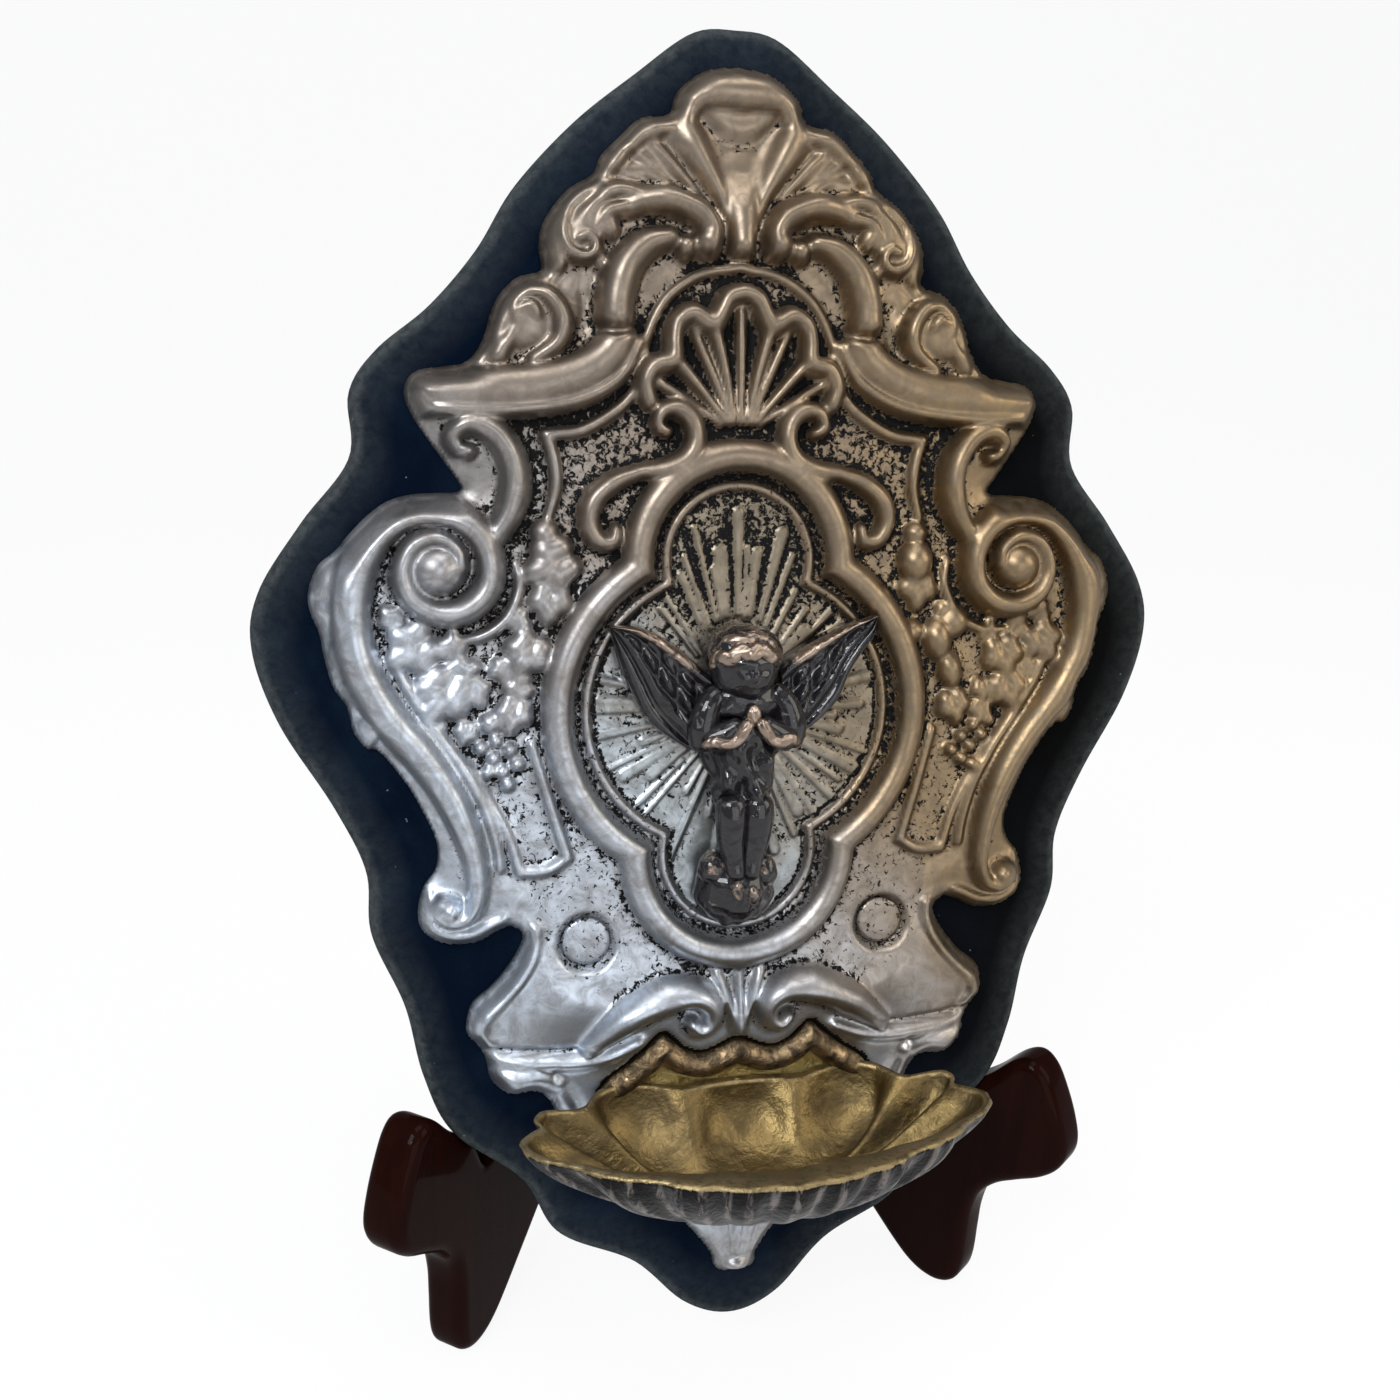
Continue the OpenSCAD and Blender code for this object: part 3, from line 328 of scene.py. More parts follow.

# Silver plaque
# One thin sheet chased and embossed from behind: a leafy crest, a cornice, side
# scrolls, a scallop shell, a medallion's moulding, garlands and a hanging tail.
# Brown tarnish films the high parts and black tarnish fills the grounds. The bare
# silver's blue tint is painted cool light from the left, and the film's growth
# and redder colour to the right are partly painted warm light.
PLAQUE_HALF = [
    (0, 128.5), (7, 127.2), (12.5, 123), (14.2, 118.8), (20, 117.5), (25, 113), (28, 110), (29.6, 106.5),
    (34, 103.8), (37.5, 100), (39.8, 96), (40.3, 92), (40, 88), (44.5, 86.5), (48, 83.3), (50, 79.5),
    (51.2, 75.5), (53, 72), (55.5, 69.8), (60, 69), (64, 68.3), (66.3, 66.5), (67, 63.5), (65.5, 59.5),
    (62.5, 54.8), (59.5, 50.5), (56.5, 45.4), (61.5, 44.7), (66, 44.4), (70.5, 43.2), (74.5, 40.5),
    (78.5, 36.5), (81, 33.5), (84.5, 30.5), (86.5, 25.5), (86.3, 21.5), (84.8, 17.5), (84, 12.5),
    (82.5, 6.5), (80, 2.5), (79, -2.5), (76.5, -6), (74.5, -6.4), (71.5, -10), (68.5, -14.5),
    (66, -19.5), (64, -24), (63.2, -28), (63.8, -32), (66.3, -35.5), (67.6, -40.5), (67, -44.3),
    (64, -47), (60, -48.2), (55.5, -47.8), (51.5, -45.8), (48.5, -45), (46.2, -47), (47, -50),
    (49.5, -54), (53, -58), (57, -61.3), (58.3, -65), (58.3, -68), (56, -70.7), (54.5, -74), (53.8, -78),
    (51.3, -81.3), (48.5, -82.5), (45, -82), (42, -83.5), (40, -87), (36, -95), (28, -104), (18, -110),
    (14.4, -113.5), (10.8, -117.6), (7.4, -122), (5.2, -125.6), (4.8, -128), (2.8, -129.6), (0, -130),
]
RELIEF_STEP = 0.56
LINE_STEP = 0.9
# The medallion's line: centres and radii of its four circles
LOBE_AT = [(0, 31), (3.3, -0.5), (-3.3, -0.5), (0, -31)]
LOBE_R = [21.5, 35.2, 35.2, 22.5]
# The ground inside the leaves, cornice and side bands, where the black tarnish sits
FIELD_HALF = [
    (0, 91), (9, 90), (16.5, 84.5), (21, 77), (22.5, 71), (25, 65.5), (33, 61), (46, 59.4), (45, 52),
    (44, 46), (46, 40), (50, 34), (50, 26), (54, 20), (62, 18), (69, 20.5), (71, 14), (68.5, 6.5),
    (64, -1), (58, -9.5), (54, -18), (51, -27), (50, -34), (46, -37), (44, -44), (40, -55), (28, -62),
    (10, -60), (0, -56),
]
# Bands of the right half: path, widths and heights from start to end, and how round the section is
SCROLLS = [
    # crest: palmette rim, edges and stem
    ([(0, 123.6), (5, 123.6), (9.4, 121.8), (11.2, 117.8)], [9, 7.6, 4.8], [3.8, 3.6, 2.4], 0.6),
    ([(2.8, 97), (5, 104), (8.6, 110.8), (11.6, 116)], [3, 6, 7.4], [2.4, 2.4, 2.2], 1.2),
    ([(0, 94), (0, 100), (0, 108)], [6.4, 6.8, 9], [4.8, 3.8, 0.9], 0.5),
    # crest: rolled rim of the fluted lobe
    ([(14.6, 116.2), (19.4, 115), (24, 111.2), (27.2, 107.2)], [3.6, 4.4, 4], [2.4, 2.6, 2.4], 0.5),
    # crest: leaf roll, outer rim, curl and veins
    ([(6.8, 93.6), (6.4, 96.6), (9.4, 99.8), (14.4, 101.6), (19.6, 101.4), (24, 99.6)], [6, 6.2, 6, 4],
     [6, 6.2, 5.2, 2.6], 0.5),
    ([(29.6, 104.2), (33.8, 101.8), (37, 97.8), (38, 92.8), (37, 89)], [4, 5, 4], [3.2, 3.8, 3.2], 0.5),
    ([(35.4, 98.6), (36, 94.6), (34.6, 91), (31.4, 90), (29.6, 92), (31, 94.2), (33, 93.4)],
     [2.4, 2.8, 2], [4.2, 4.6, 4.2], 0.6),
    ([(21, 102.6), (25.6, 103), (29.4, 101), (32.2, 97.2)], [3, 4, 3], [3.4, 4.2, 3], 0.6),
    ([(24, 99.8), (27.4, 98.6), (29.4, 95.6)], [3, 3.4, 2.2], [3.6, 4, 3], 0.6),
    ([(28, 88.6), (29.6, 93), (27, 97)], [3, 3, 2], [2.4, 3, 2.4], 0.6),
    # crest: thick scroll that ends like a sleeve on the cornice
    ([(15, 94.4), (19.6, 93), (23.6, 89), (25.6, 83.4), (26, 79)], [4.4, 6.8, 7.8, 7.8],
     [5.2, 6.2, 6.8, 6.6], 0.5),
    # crest: lowest leaf, its rim and its curl
    ([(41.2, 86), (45.2, 83.8), (48, 79.6), (49.8, 75.4), (53, 71)], [3.4, 4.4, 3.6], [2.6, 3.2, 2.6],
     0.5),
    ([(45.4, 78), (45.6, 81.4), (42.4, 83.8), (38.4, 82.2), (36.2, 78), (37.4, 73.8), (42, 70.6)],
     [2, 3.4, 4.4, 2.8], [3.4, 4.6, 4.6, 2.8], 0.5),
    ([(44.6, 79.8), (42.4, 80.8), (41.2, 78.8)], [2, 2.8, 2.2], [3.6, 4.2, 3.6], 0.5),
    ([(49, 71.4), (46.4, 75), (45.4, 77.6)], [4.4, 3.2, 2], [3, 3.2, 2.4], 0.6),
    # cornice: broad band and the lip under it
    ([(25, 75.6), (28, 71.4), (34, 67.6), (42, 65.4), (53, 64.6), (65.4, 65)], [7.4, 8.4, 9, 8.4],
     [5, 5.2, 5.4, 5], 0.42),
    ([(20.8, 74.6), (24.4, 68), (31.4, 63.4), (40, 61.2), (51, 60.4), (63.8, 60.8)], [2.4, 3, 3.4, 3.4],
     [3.4, 4.4, 5, 5], 0.5),
    # side: scroll under the cornice
    ([(55, 52.6), (57.6, 53.4), (58, 56), (54.4, 58), (50, 56.4), (46.8, 52), (46, 46.4), (47.4, 40.8),
     (50.4, 36)], [3, 4.6, 6.2, 6.6, 5], [4.4, 5.4, 6.2, 6, 4.6], 0.5),
    # side: long band from its lower curl up into the volute's spiral
    ([(61, -38.8), (62.8, -37.8), (63.8, -40), (61, -42.4), (57.4, -41.2), (55.4, -36.6), (55.8, -30),
     (57.4, -23.6), (60.4, -16), (64.8, -8.6), (69.6, -2.4), (74, 4.2), (77, 10.8), (78.4, 18),
     (78, 26.2), (75.2, 33.8), (69.8, 39.4), (62.6, 41), (55.6, 38.4), (51.6, 32.6), (52, 26),
     (56.4, 21.8), (62, 21.2), (66.8, 24.2), (68.4, 29.6), (66, 34.6), (61.4, 36), (57.6, 33.6),
     (56.8, 30)], [2.6, 3.4, 5.2, 6.8, 7.6, 8, 8, 8, 7.6, 7.2, 6.4, 5.8, 5.2, 4.2, 2.6],
     [3.4, 4.2, 5, 5.6, 6, 6.2, 6.2, 6, 5.8, 5.8, 6, 6.2, 6.2, 6.2, 5.8], 0.42),
    ([(68.8, 20.6), (70.6, 14), (68.2, 6.4), (63.8, -1), (58, -9.6), (53.8, -18), (51.4, -26),
     (50.6, -32)], [2, 3, 3, 2], [2.2, 3, 3, 2], 0.6),
    ([(66, -36.4), (66, -42.6), (61.6, -46.2), (55.6, -45.6), (50.6, -43.4)], [3, 3.6, 3.2, 2.6],
     [2.4, 3, 2.8, 2.2], 0.5),
    # field: moulding that steps round the shell
    ([(39.6, 40), (38, 46), (38.4, 51.4), (39.8, 56.2)], [2, 2.8, 2.8], [2, 2.8, 2.8], 0.55),
    ([(39.8, 56.2), (33, 57), (26.4, 60.6), (22.4, 64.4), (20.4, 70), (19.2, 76), (15.2, 83.2),
     (8.4, 88), (0, 89.6)], [2.8, 2.6, 2.2, 2], [2.8, 2.6, 2.2, 2], 0.55),
    # field: pair of scrolls on the medallion's shoulder
    ([(15.4, 57), (17.6, 58.2), (16.4, 61.2), (13, 61.6), (10.2, 59), (9.8, 54.8), (12.2, 51.2),
     (16.6, 49.6), (21.6, 49)], [2.4, 4.2, 5, 5, 3.6], [4.4, 5, 5.2, 5, 3.8], 0.5),
    ([(21, 49), (26.4, 47), (30.6, 43.4), (31.6, 38.8), (29.6, 35.2), (26.6, 35), (26.2, 37.6)],
     [3.2, 4.8, 5, 4.2, 2.6], [4, 5, 5, 4.6, 4], 0.5),
    # shell: ruffled rim and ribs
    ([(19.2, 63), (20, 66.6), (18.2, 70), (14.4, 71), (14.2, 75), (13.4, 78.6), (10.2, 80.4),
     (6.4, 78.2), (4.6, 80.6), (3, 83.6), (0, 84.6)], [4.2, 4.8, 4.4, 4.8, 4.6],
     [4.8, 5.8, 5.4, 5.8, 5.8], 0.5),
    ([(5.8, 77.6), (3.2, 68), (1.4, 59)], [3.6, 2.4, 1.4], [4.6, 3.8, 2.6], 0.6),
    ([(13.8, 71.4), (8, 65), (3, 59)], [3.6, 2.4, 1.4], [4.6, 3.8, 2.6], 0.6),
    ([(0, 81), (0, 70), (0, 59)], [2.6, 2.2, 1.2], [3, 3, 2.4], 0.6),
    ([(10, 77.4), (5.6, 67.6), (2.2, 59)], [2.6, 2.2, 1.2], [3, 3, 2.4], 0.6),
    ([(17.4, 67), (10.6, 63), (4, 58.6)], [2.6, 2.2, 1.2], [3, 3, 2.2], 0.6),
    # side: tapered panel
    ([(43.8, -6), (40, -19.6), (36.8, -30.4)], [2.2, 2.4, 2.4], [2, 2.4, 2.4], 0.55),
    ([(36.8, -30.4), (41, -32.8), (46.6, -33)], [2.4, 2.6, 2.4], [2.4, 2.4, 2.4], 0.55),
    ([(46.6, -33), (49.6, -23.6), (56.6, -9)], [2.4, 2.2, 1.6], [2.4, 2.2, 1.4], 0.55),
    # garland stem
    ([(46.4, 31), (45.7, 25.5), (48.6, 19.6), (53.6, 16.2), (60, 15.6)], [1.6, 2.6, 2.6, 1.6],
     [2.2, 3, 2.8, 2], 0.55),
    # skirt: pair of scrolls over the bowl, and the drop between them
    ([(33, -72), (25.6, -66), (18, -62), (11, -61.4), (6.6, -64.2), (6.4, -68), (9, -69.8), (10.8, -68)],
     [4.4, 7.6, 8.4, 6, 3], [3.4, 5.6, 6.2, 5.8, 4.8], 0.5),
    ([(0.8, -70.4), (2.6, -64), (5, -57.6)], [1.6, 2, 2.4], [3.4, 3.2, 2.2], 0.6),
    ([(0, -71.4), (0, -64), (0, -57)], [3.2, 2.2, 1.6], [4, 3.4, 2], 0.6),
    # skirt: rolled edge, rail and lower lobe
    ([(43.8, -45.6), (44.8, -51), (48.4, -56.2), (53.4, -61.4), (56, -65.6), (54.8, -69.4)],
     [3, 3.6, 4, 3.4], [2.2, 2.8, 3, 2.6], 0.5),
    ([(56, -73), (45, -74.6), (35, -75.4), (28, -74.4), (22, -72)], [3.4, 4, 4, 3], [1.6, 2.2, 2.6, 2.2],
     0.7),
    ([(54, -75.6), (51.4, -77.8), (48, -78.6), (44.4, -78.4), (40.4, -80.4)], [5, 6.6, 6.8, 5],
     [2.8, 3.6, 3.6, 2.6], 0.6),
]
# Chased lines of the right half: path, width and depth
LINES = [
    ([(4.2, 91.4), (4.1, 96.6), (6.2, 101.2)], 1.8, 2.2),
    ([(5, 100.8), (10.4, 107.4), (17, 114.2)], 1.5, 1.1),
    ([(6.8, 100.6), (15, 106.2), (23.6, 110.4)], 1.5, 1.1),
    ([(8.6, 101.6), (17, 104.8), (27.4, 106.4)], 1.3, 0.9),
    ([(21.4, 77.2), (25.6, 76.2), (30, 77.4)], 1.3, 2.2),
    ([(28.4, 102.4), (33, 99.8), (34.8, 96.4)], 1.4, 1.0),
    ([(32, 84.6), (31.6, 79), (33.4, 73.4)], 2.2, 0.9),
    ([(58, -70.6), (47, -72), (36.6, -72.6), (31.6, -71.6)], 1.2, 1.5),
    ([(40, -75.8), (40.6, -80.4), (40, -86)], 1.0, 0.7),
]
# Round buds and swellings of the right half: centre, half sizes, turn in degrees, and height
BUDS = [
    (7.2, 94, 3.3, 3.4, 0, 6.2), (11.8, 92.8, 2.3, 2.7, 20, 5.2), (17.4, 115.4, 2.6, 2.2, -35, 2.8),
    (22.6, 112.2, 2.4, 2, -42, 2.6), (27, 96.4, 3.4, 2.2, 60, 3.2), (48.6, 73.4, 2.6, 2, 30, 3),
    (61.6, 29.6, 5.6, 5.4, 0, 6.8), (61.2, -39.6, 2.8, 2.8, 0, 4.8), (82.6, 27.4, 4.2, 3.8, 40, 2.2),
    (83, 20.4, 3.6, 4.6, 10, 2.0), (81.6, 12.4, 3.2, 4.8, 14, 2.0), (79.4, 5.0, 3, 4.4, 20, 1.9),
    (76.2, -2.6, 2.8, 4, 24, 1.8), (32.6, 96.8, 5.6, 7.4, 30, 2.9), (44.2, 78.2, 6.4, 5.6, 0, 2.5),
]
# Garlands, left and right: leaves as centre, radius, turn in degrees, and height
LEAVES = [
    (-46, 19.4, 3.2, 60, 2.6), (-59.4, 14.4, 3.8, 80, 2.8), (-71, 20.4, 3.2, 130, 2.6),
    (-55, 5, 4, 300, 2.6), (-57.2, 9.4, 4.2, 20, 3), (-63.4, -1.8, 3.2, 220, 2.6),
    (-57, -3.2, 3.2, 250, 2.8), (-49.6, 9.4, 3.2, 200, 2.4), (-46.2, 6, 3.8, 190, 3),
    (-67, 14, 6.6, 215, 3.6), (-61.6, 4.4, 7.2, 238, 4), (-44.4, 12.6, 5.8, 240, 3.8),
    (-47.4, 0.2, 4.8, 255, 3.6), (-39.6, 23, 5.4, 262, 3.6), (-39.2, 30.6, 6.8, 205, 4.2),
    (39.6, 24.8, 5.4, 265, 3), (46.4, 20, 3.4, 60, 2.6), (56.4, 15.4, 3.2, 80, 2.4),
    (63.4, 16.6, 3.4, 60, 2.6), (68.4, 19.4, 3, 60, 2.4), (55.4, 2.4, 3.4, 270, 2.8),
    (55, -2.4, 3.4, 260, 2.8), (66, 6.6, 3.6, 310, 2.6), (48.6, -1, 4.8, 285, 3.6),
    (60, 9.8, 6, 285, 3.8), (69, 12.6, 5.6, 300, 3.6), (61.4, 2.2, 5.6, 290, 3.8),
]
# Buds, fruit and grapes of both garlands, with the same five sizes as other buds
FRUIT = [
    (-40.4, 36.8, 3, 3, 0, 3.6), (-52, -1.4, 2.4, 2.4, 0, 3.2), (38.8, 36.6, 2.8, 2.6, 0, 3.4),
    (38.8, 30.6, 4.2, 4.8, 0, 5), (44.2, 13.8, 3.6, 5, 10, 4.6), (48.2, 17.6, 3.6, 3.8, 0, 3.8),
    (47.4, 7, 3, 4.6, 15, 4), (38.8, 15.6, 2.6, 2.6, 0, 3),
]
GRAPES = [
    (-51, -5), (-54, -6.4), (-48.2, -7), (-51.6, -8.6), (-46.8, -10), (-49.8, -11.4), (-48.8, -14.2),
    (-52.8, -11.4), (53.2, -5.4), (50.6, -7.8), (55.4, -7.6), (52.8, -10), (48.4, -10.8), (57, -4.4),
    (50.8, -12.8), (53.4, -14.2),
]
GRAPE_R = 1.6
GRAPE_HIGH = 3.4
# Lobes of a vine leaf: turn from its stem in degrees, and length as a share of the longest
LEAF_LOBES = [(-108, 0.60), (108, 0.60), (-56, 0.80), (56, 0.80), (0, 1.0)]
# A lobe's half length and half width, its middle's place and the stem's, as shares of the leaf's radius
LOBE_LONG = 0.68
LOBE_WIDE = 0.47
LOBE_OUT = 0.58
STEM_BACK = 0.28
# A nail's place, right of the middle
NAIL_AT = (33, -49.3)
# The bowl's plate, right half: black tarnish and painted shadow line its edge on the plaque
PLATE_HALF = [
    (0, -73.4), (3, -74.8), (7.5, -76.4), (11.5, -75.4), (14.6, -72.8), (16.8, -71.2), (19.4, -73.4),
    (24, -77.2), (29.6, -81.4), (31, -87), (28, -94), (20, -100), (10, -103.6), (0, -104.5),
]
# Heights: the sheet's edge, its swell inside the edge, and the border round the field
EDGE_HIGH = 0.8
SWELL_HIGH = 1.3
SWELL_WIDE = 7
BORDER_HIGH = 0.9
# Broad swellings of the ground over the skirt and the middle: height, centre and half sizes
SWELLINGS = [(2.0, 34, -61, 24, 11), (0.8, 0, 0, 44, 60)]
# The rolled rim: height, half width, and the share of its height up the plaque
RIM_HIGH = 1.6
RIM_HALF = 2
RIM_UP = [-55, -40, 60, 80]
RIM_SHARE = [1, 0.25, 0.25, 1]
# The crest's fluted lobe: centre, spread in degrees, reach, number of ribs, and depth
CREST_FAN = ((0, 94.5), (32, 70), (7, 29), 3.5, 0.7)
# The palmette's cup: depth, half width by height, and the height of its rim at the middle and the sides
CUP_DEPTH = 2.0
CUP_UP = [96, 104, 111, 118, 123]
CUP_HALF = [3.0, 5.2, 8.6, 11.6, 11.6]
CUP_RIM = 116.4
CUP_RIM_RISE = 4.6
# The medallion's moulding, the level sunk inside it for the glory plate, and the bead round that
TUBE_HALF = 3.5
TUBE_HIGH = 4.8
SUNK_Z = 1.5
BEAD_AT = -6
BEAD_HALF = 1.15
BEAD_HIGH = 2.2
# The fluted tail: where it starts, its length, its taper and half width at its end, and its flutes
TAIL_TOP = -104
TAIL_LONG = 22
TAIL_TAPER = 11
TAIL_END = 3.6
FLUTE_HIGH = 1.8
FLUTES_END = -124.6
# The seats under a nail and under the bowl's plate: level and slope up to the sheet
NAIL_SEAT = (1.1, 1.4)
PLATE_SEAT = (1.3, 2.4)
# How far the whole sheet is softened, and how steeply its turned-down edge rises
SOFTENED = 0.55
EDGE_SLOPE = 1.7
# Black tarnish: everywhere, in the field's and the border's hollows and pits, in creases, and, with
# painted shadow, along the bowl's plate and round the nails
GRIME_LEAST = 0.10
GRIME_FIELD = (0.10, 0.08)
GRIME_BORDER = (0.10, 0.18)
GRIME_CREASE = 0.16
TARNISH_AND_SHADOW_PLATE = 0.9
TARNISH_AND_SHADOW_NAIL = 0.47
# Two dark patches, in the palmette's cup and over the bowl: share, centre and half sizes
GRIME_PATCHES = [(0.16, 0, 114, 4.2, 4.4), (0.22, 14, -69.6, 9, 2.8)]
# How much black tarnish the field holds by height, and the most that it may hold
STALE_UP = [-60, -48, -35, -12, 10, 30, 45, 62, 90]
STALE = [0.24, 0.28, 0.29, 0.28, 0.30, 0.33, 0.37, 0.40, 0.40]
THICKEST_UP = [-60, -20, 20, 60]
THICKEST = [0.42, 0.42, 0.44, 0.53]
# Bare silver, its blue tint painted cool light, and the film's colours at the left and at the right, the
# right one redder as painted warm light
SILVER_BRIGHT = (0.48, 0.53, 0.60, 1)
SILVER_FILM_LEFT = (0.25, 0.21, 0.175, 1)
SILVER_FILM_WARM_LIT = (0.24, 0.17, 0.095, 1)
SILVER_BLACK = (0.0055, 0.0052, 0.0055, 1)
SILVER_ROUGH = 0.36
# The film's growth per metre to the right, which is partly painted warm light, and upwards, and where it is
# full
FILM_AND_WARM_LIGHT_ACROSS = 5.8
FILM_UP = 5.0
FILM_FULL = 1.15


def unit(values):
    """Values held between 0 and 1."""
    return np.clip(values, 0, 1)


def half_round(share, power=0.5):
    """A section's height at a share of the way out from its middle: one minus the square of the share, to a
    power, so that a half gives a half-round section."""
    return unit(1 - share**2) ** power


def nearest(points, line):
    """For each point its distance from an open line, and its place along the line from 0 to 1."""
    start, span = line[:-1], np.diff(line, axis=0)
    size = np.maximum((span**2).sum(-1), 1e-9)
    far, place = np.empty(len(points)), np.empty(len(points))
    for rows in np.array_split(np.arange(len(points)), 1 + len(points) * len(span) // 2000000):
        gap = points[rows, None] - start
        share = unit((gap * span).sum(-1) / size)
        off = ((gap - share[..., None] * span) ** 2).sum(-1)
        pick = off.argmin(1)[:, None]
        far[rows] = np.sqrt(np.take_along_axis(off, pick, 1)[:, 0])
        place[rows] = (pick + np.take_along_axis(share, pick, 1))[:, 0] / len(span)
    return far, place


def window(xs, ys, low, high):
    """The rows and columns of a grid between two corners, and the points there."""
    part = slice(*np.searchsorted(ys, (low[1], high[1]))), slice(*np.searchsorted(xs, (low[0], high[0])))
    x, y = np.meshgrid(xs[part[1]], ys[part[0]])
    return part, np.stack([x, y], -1).reshape(-1, 2), x.shape


def filleted(low, high, fillet):
    """The higher of two surfaces, with a fillet where they meet."""
    near = unit(1 - np.abs(low - high) / fillet)
    return np.maximum(low, high) + fillet * near**2 / 4


def emboss(relief, ground, xs, ys, path, widths, heights, crown, fillet=0.7):
    """Raises a band along a smooth path, with a round section of the power crown over its half width."""
    line = smooth_line(path, LINE_STEP)
    reach = max(widths) / 2 + fillet
    part, points, shape = window(xs, ys, line.min(0) - reach, line.max(0) + reach)
    far, place = nearest(points, line)
    half = np.interp(place, np.linspace(0, 1, len(widths)), widths) / 2
    high = np.interp(place, np.linspace(0, 1, len(heights)), heights)
    lift = np.where(far < half, high * half_round(far / half, crown), 2 * (half - far)).reshape(shape)
    relief[part] = filleted(relief[part], ground[part] + lift, fillet)


def mound(relief, ground, xs, ys, x, y, wide, tall, turn, high):
    """Raises half an ellipsoid with the given half sizes, turned in the plane."""
    reach = max(wide, tall) + 0.6
    part, points, shape = window(xs, ys, (x - reach, y - reach), (x + reach, y + reach))
    gap = points - (x, y)
    c, s = math.cos(math.radians(turn)), math.sin(math.radians(turn))
    share = np.hypot((gap[:, 0] * c + gap[:, 1] * s) / wide, (gap[:, 1] * c - gap[:, 0] * s) / tall)
    lift = np.where(share < 1, high * half_round(share), 3 * (1 - share))
    relief[part] = filleted(relief[part], ground[part] + lift.reshape(shape), 0.6)


def chase(relief, xs, ys, path, width, depth):
    """Sinks a line along a smooth path, with a hollow section of the power two, shallower at both ends."""
    line = smooth_line(path, LINE_STEP)
    part, points, shape = window(xs, ys, line.min(0) - width, line.max(0) + width)
    far, place = nearest(points, line)
    taper = unit(8 * place * (1 - place) + 0.3)
    relief[part] -= (depth * taper * half_round(far / width, 2)).reshape(shape)


def leaf(relief, ground, xs, ys, x, y, radius, turn, high):
    """Raises a vine leaf as five puffed lobes that fan out from its stem, the middle one the longest, so that
    a crease is left between each two."""
    stem = math.radians(turn)
    for swing, long in LEAF_LOBES:
        aim = math.radians(turn + swing)
        at_x = x + radius * (LOBE_OUT * long * math.cos(aim) - STEM_BACK * math.cos(stem))
        at_y = y + radius * (LOBE_OUT * long * math.sin(aim) - STEM_BACK * math.sin(stem))
        sizes = LOBE_LONG * radius * long, LOBE_WIDE * radius
        mound(relief, ground, xs, ys, at_x, at_y, *sizes, turn + swing, high * (0.72 + 0.28 * long))


def fan(relief, xs, ys, centre, spread, reach, ribs, depth):
    """Flutes a sector: ribs as waves of the angle from straight up, between two angles and two distances."""
    x, y = np.meshgrid(xs - centre[0], ys - centre[1])
    angle = np.degrees(np.arctan2(np.abs(x), y))
    away = np.hypot(x, y)
    across = unit((angle - spread[0]) / (spread[1] - spread[0]))
    along = unit((away - reach[0]) / (reach[1] - reach[0]))
    fade = np.sin(math.pi * across) ** 0.4 * np.sin(math.pi * along) ** 0.6
    relief += depth * fade * np.cos(2 * math.pi * ribs * across)


def swell(xs, ys, x, y, wide, tall):
    """A smooth mound on both sides of the middle: a bell curve of the distance, by width and height."""
    gx, gy = np.meshgrid((np.abs(xs) - x) / wide, (ys - y) / tall)
    return np.exp(-(gx**2) - gy**2)


def edge_distance(xs, ys, half):
    """Signed distance of each grid point from a mirrored outline, below zero inside: the distance from the
    right half's line, with its sign from how often a ray to the right crosses that line."""
    x, y = np.meshgrid(np.abs(xs), ys)
    points = np.stack([x, y], -1).reshape(-1, 2)
    far, _ = nearest(points, half)
    a, b = half[:-1], half[1:]
    rise = np.where(b[:, 1] == a[:, 1], 1e-9, b[:, 1] - a[:, 1])
    crossings = np.zeros(len(points), int)
    for rows in np.array_split(np.arange(len(points)), 1 + len(points) * len(a) // 4000000):
        px, py = points[rows, :1], points[rows, 1:]
        split = (a[:, 1] > py) != (b[:, 1] > py)
        crossings[rows] = (split & (px < a[:, 0] + (py - a[:, 1]) * (b[:, 0] - a[:, 0]) / rise)).sum(1)
    return np.where(crossings % 2 == 1, -far, far).reshape(x.shape)


def medallion(xs, ys):
    """Signed distance from the medallion's line, below zero inside: the least over its four circles."""
    x, y = np.meshgrid(xs, ys)
    return np.min([np.hypot(x - c[0], y - c[1]) - r for c, r in zip(LOBE_AT, LOBE_R)], axis=0)


def blurred(field, weight, reach):
    """A running mean over a square, twice, of the part of a field where weight is one."""
    both = np.stack([field * weight, weight])
    for axis in (1, 2, 1, 2):
        margins = [(0, 0)] + [(reach + 1, reach) if k == axis else (0, 0) for k in (1, 2)]
        total = np.cumsum(np.pad(both, margins, mode="edge"), axis)
        size = total.shape[axis]
        both = np.take(total, range(2 * reach + 1, size), axis)
        both = both - np.take(total, range(size - 2 * reach - 1), axis)
    return both[0] / np.maximum(both[1], 1e-9)


def hollows(height, weight, reach, least, span):
    """How far a surface lies under its own running mean: nothing at the least depth, one a span deeper."""
    return unit((blurred(height, weight, reach) - height - least) / span)


def square_grid(half, low, high, step):
    """Columns from minus half to half about the middle and rows from low to high, one step apart."""
    xs = np.arange(-half, half + 0.01, step)
    return xs - xs.mean(), np.arange(low, high, step)


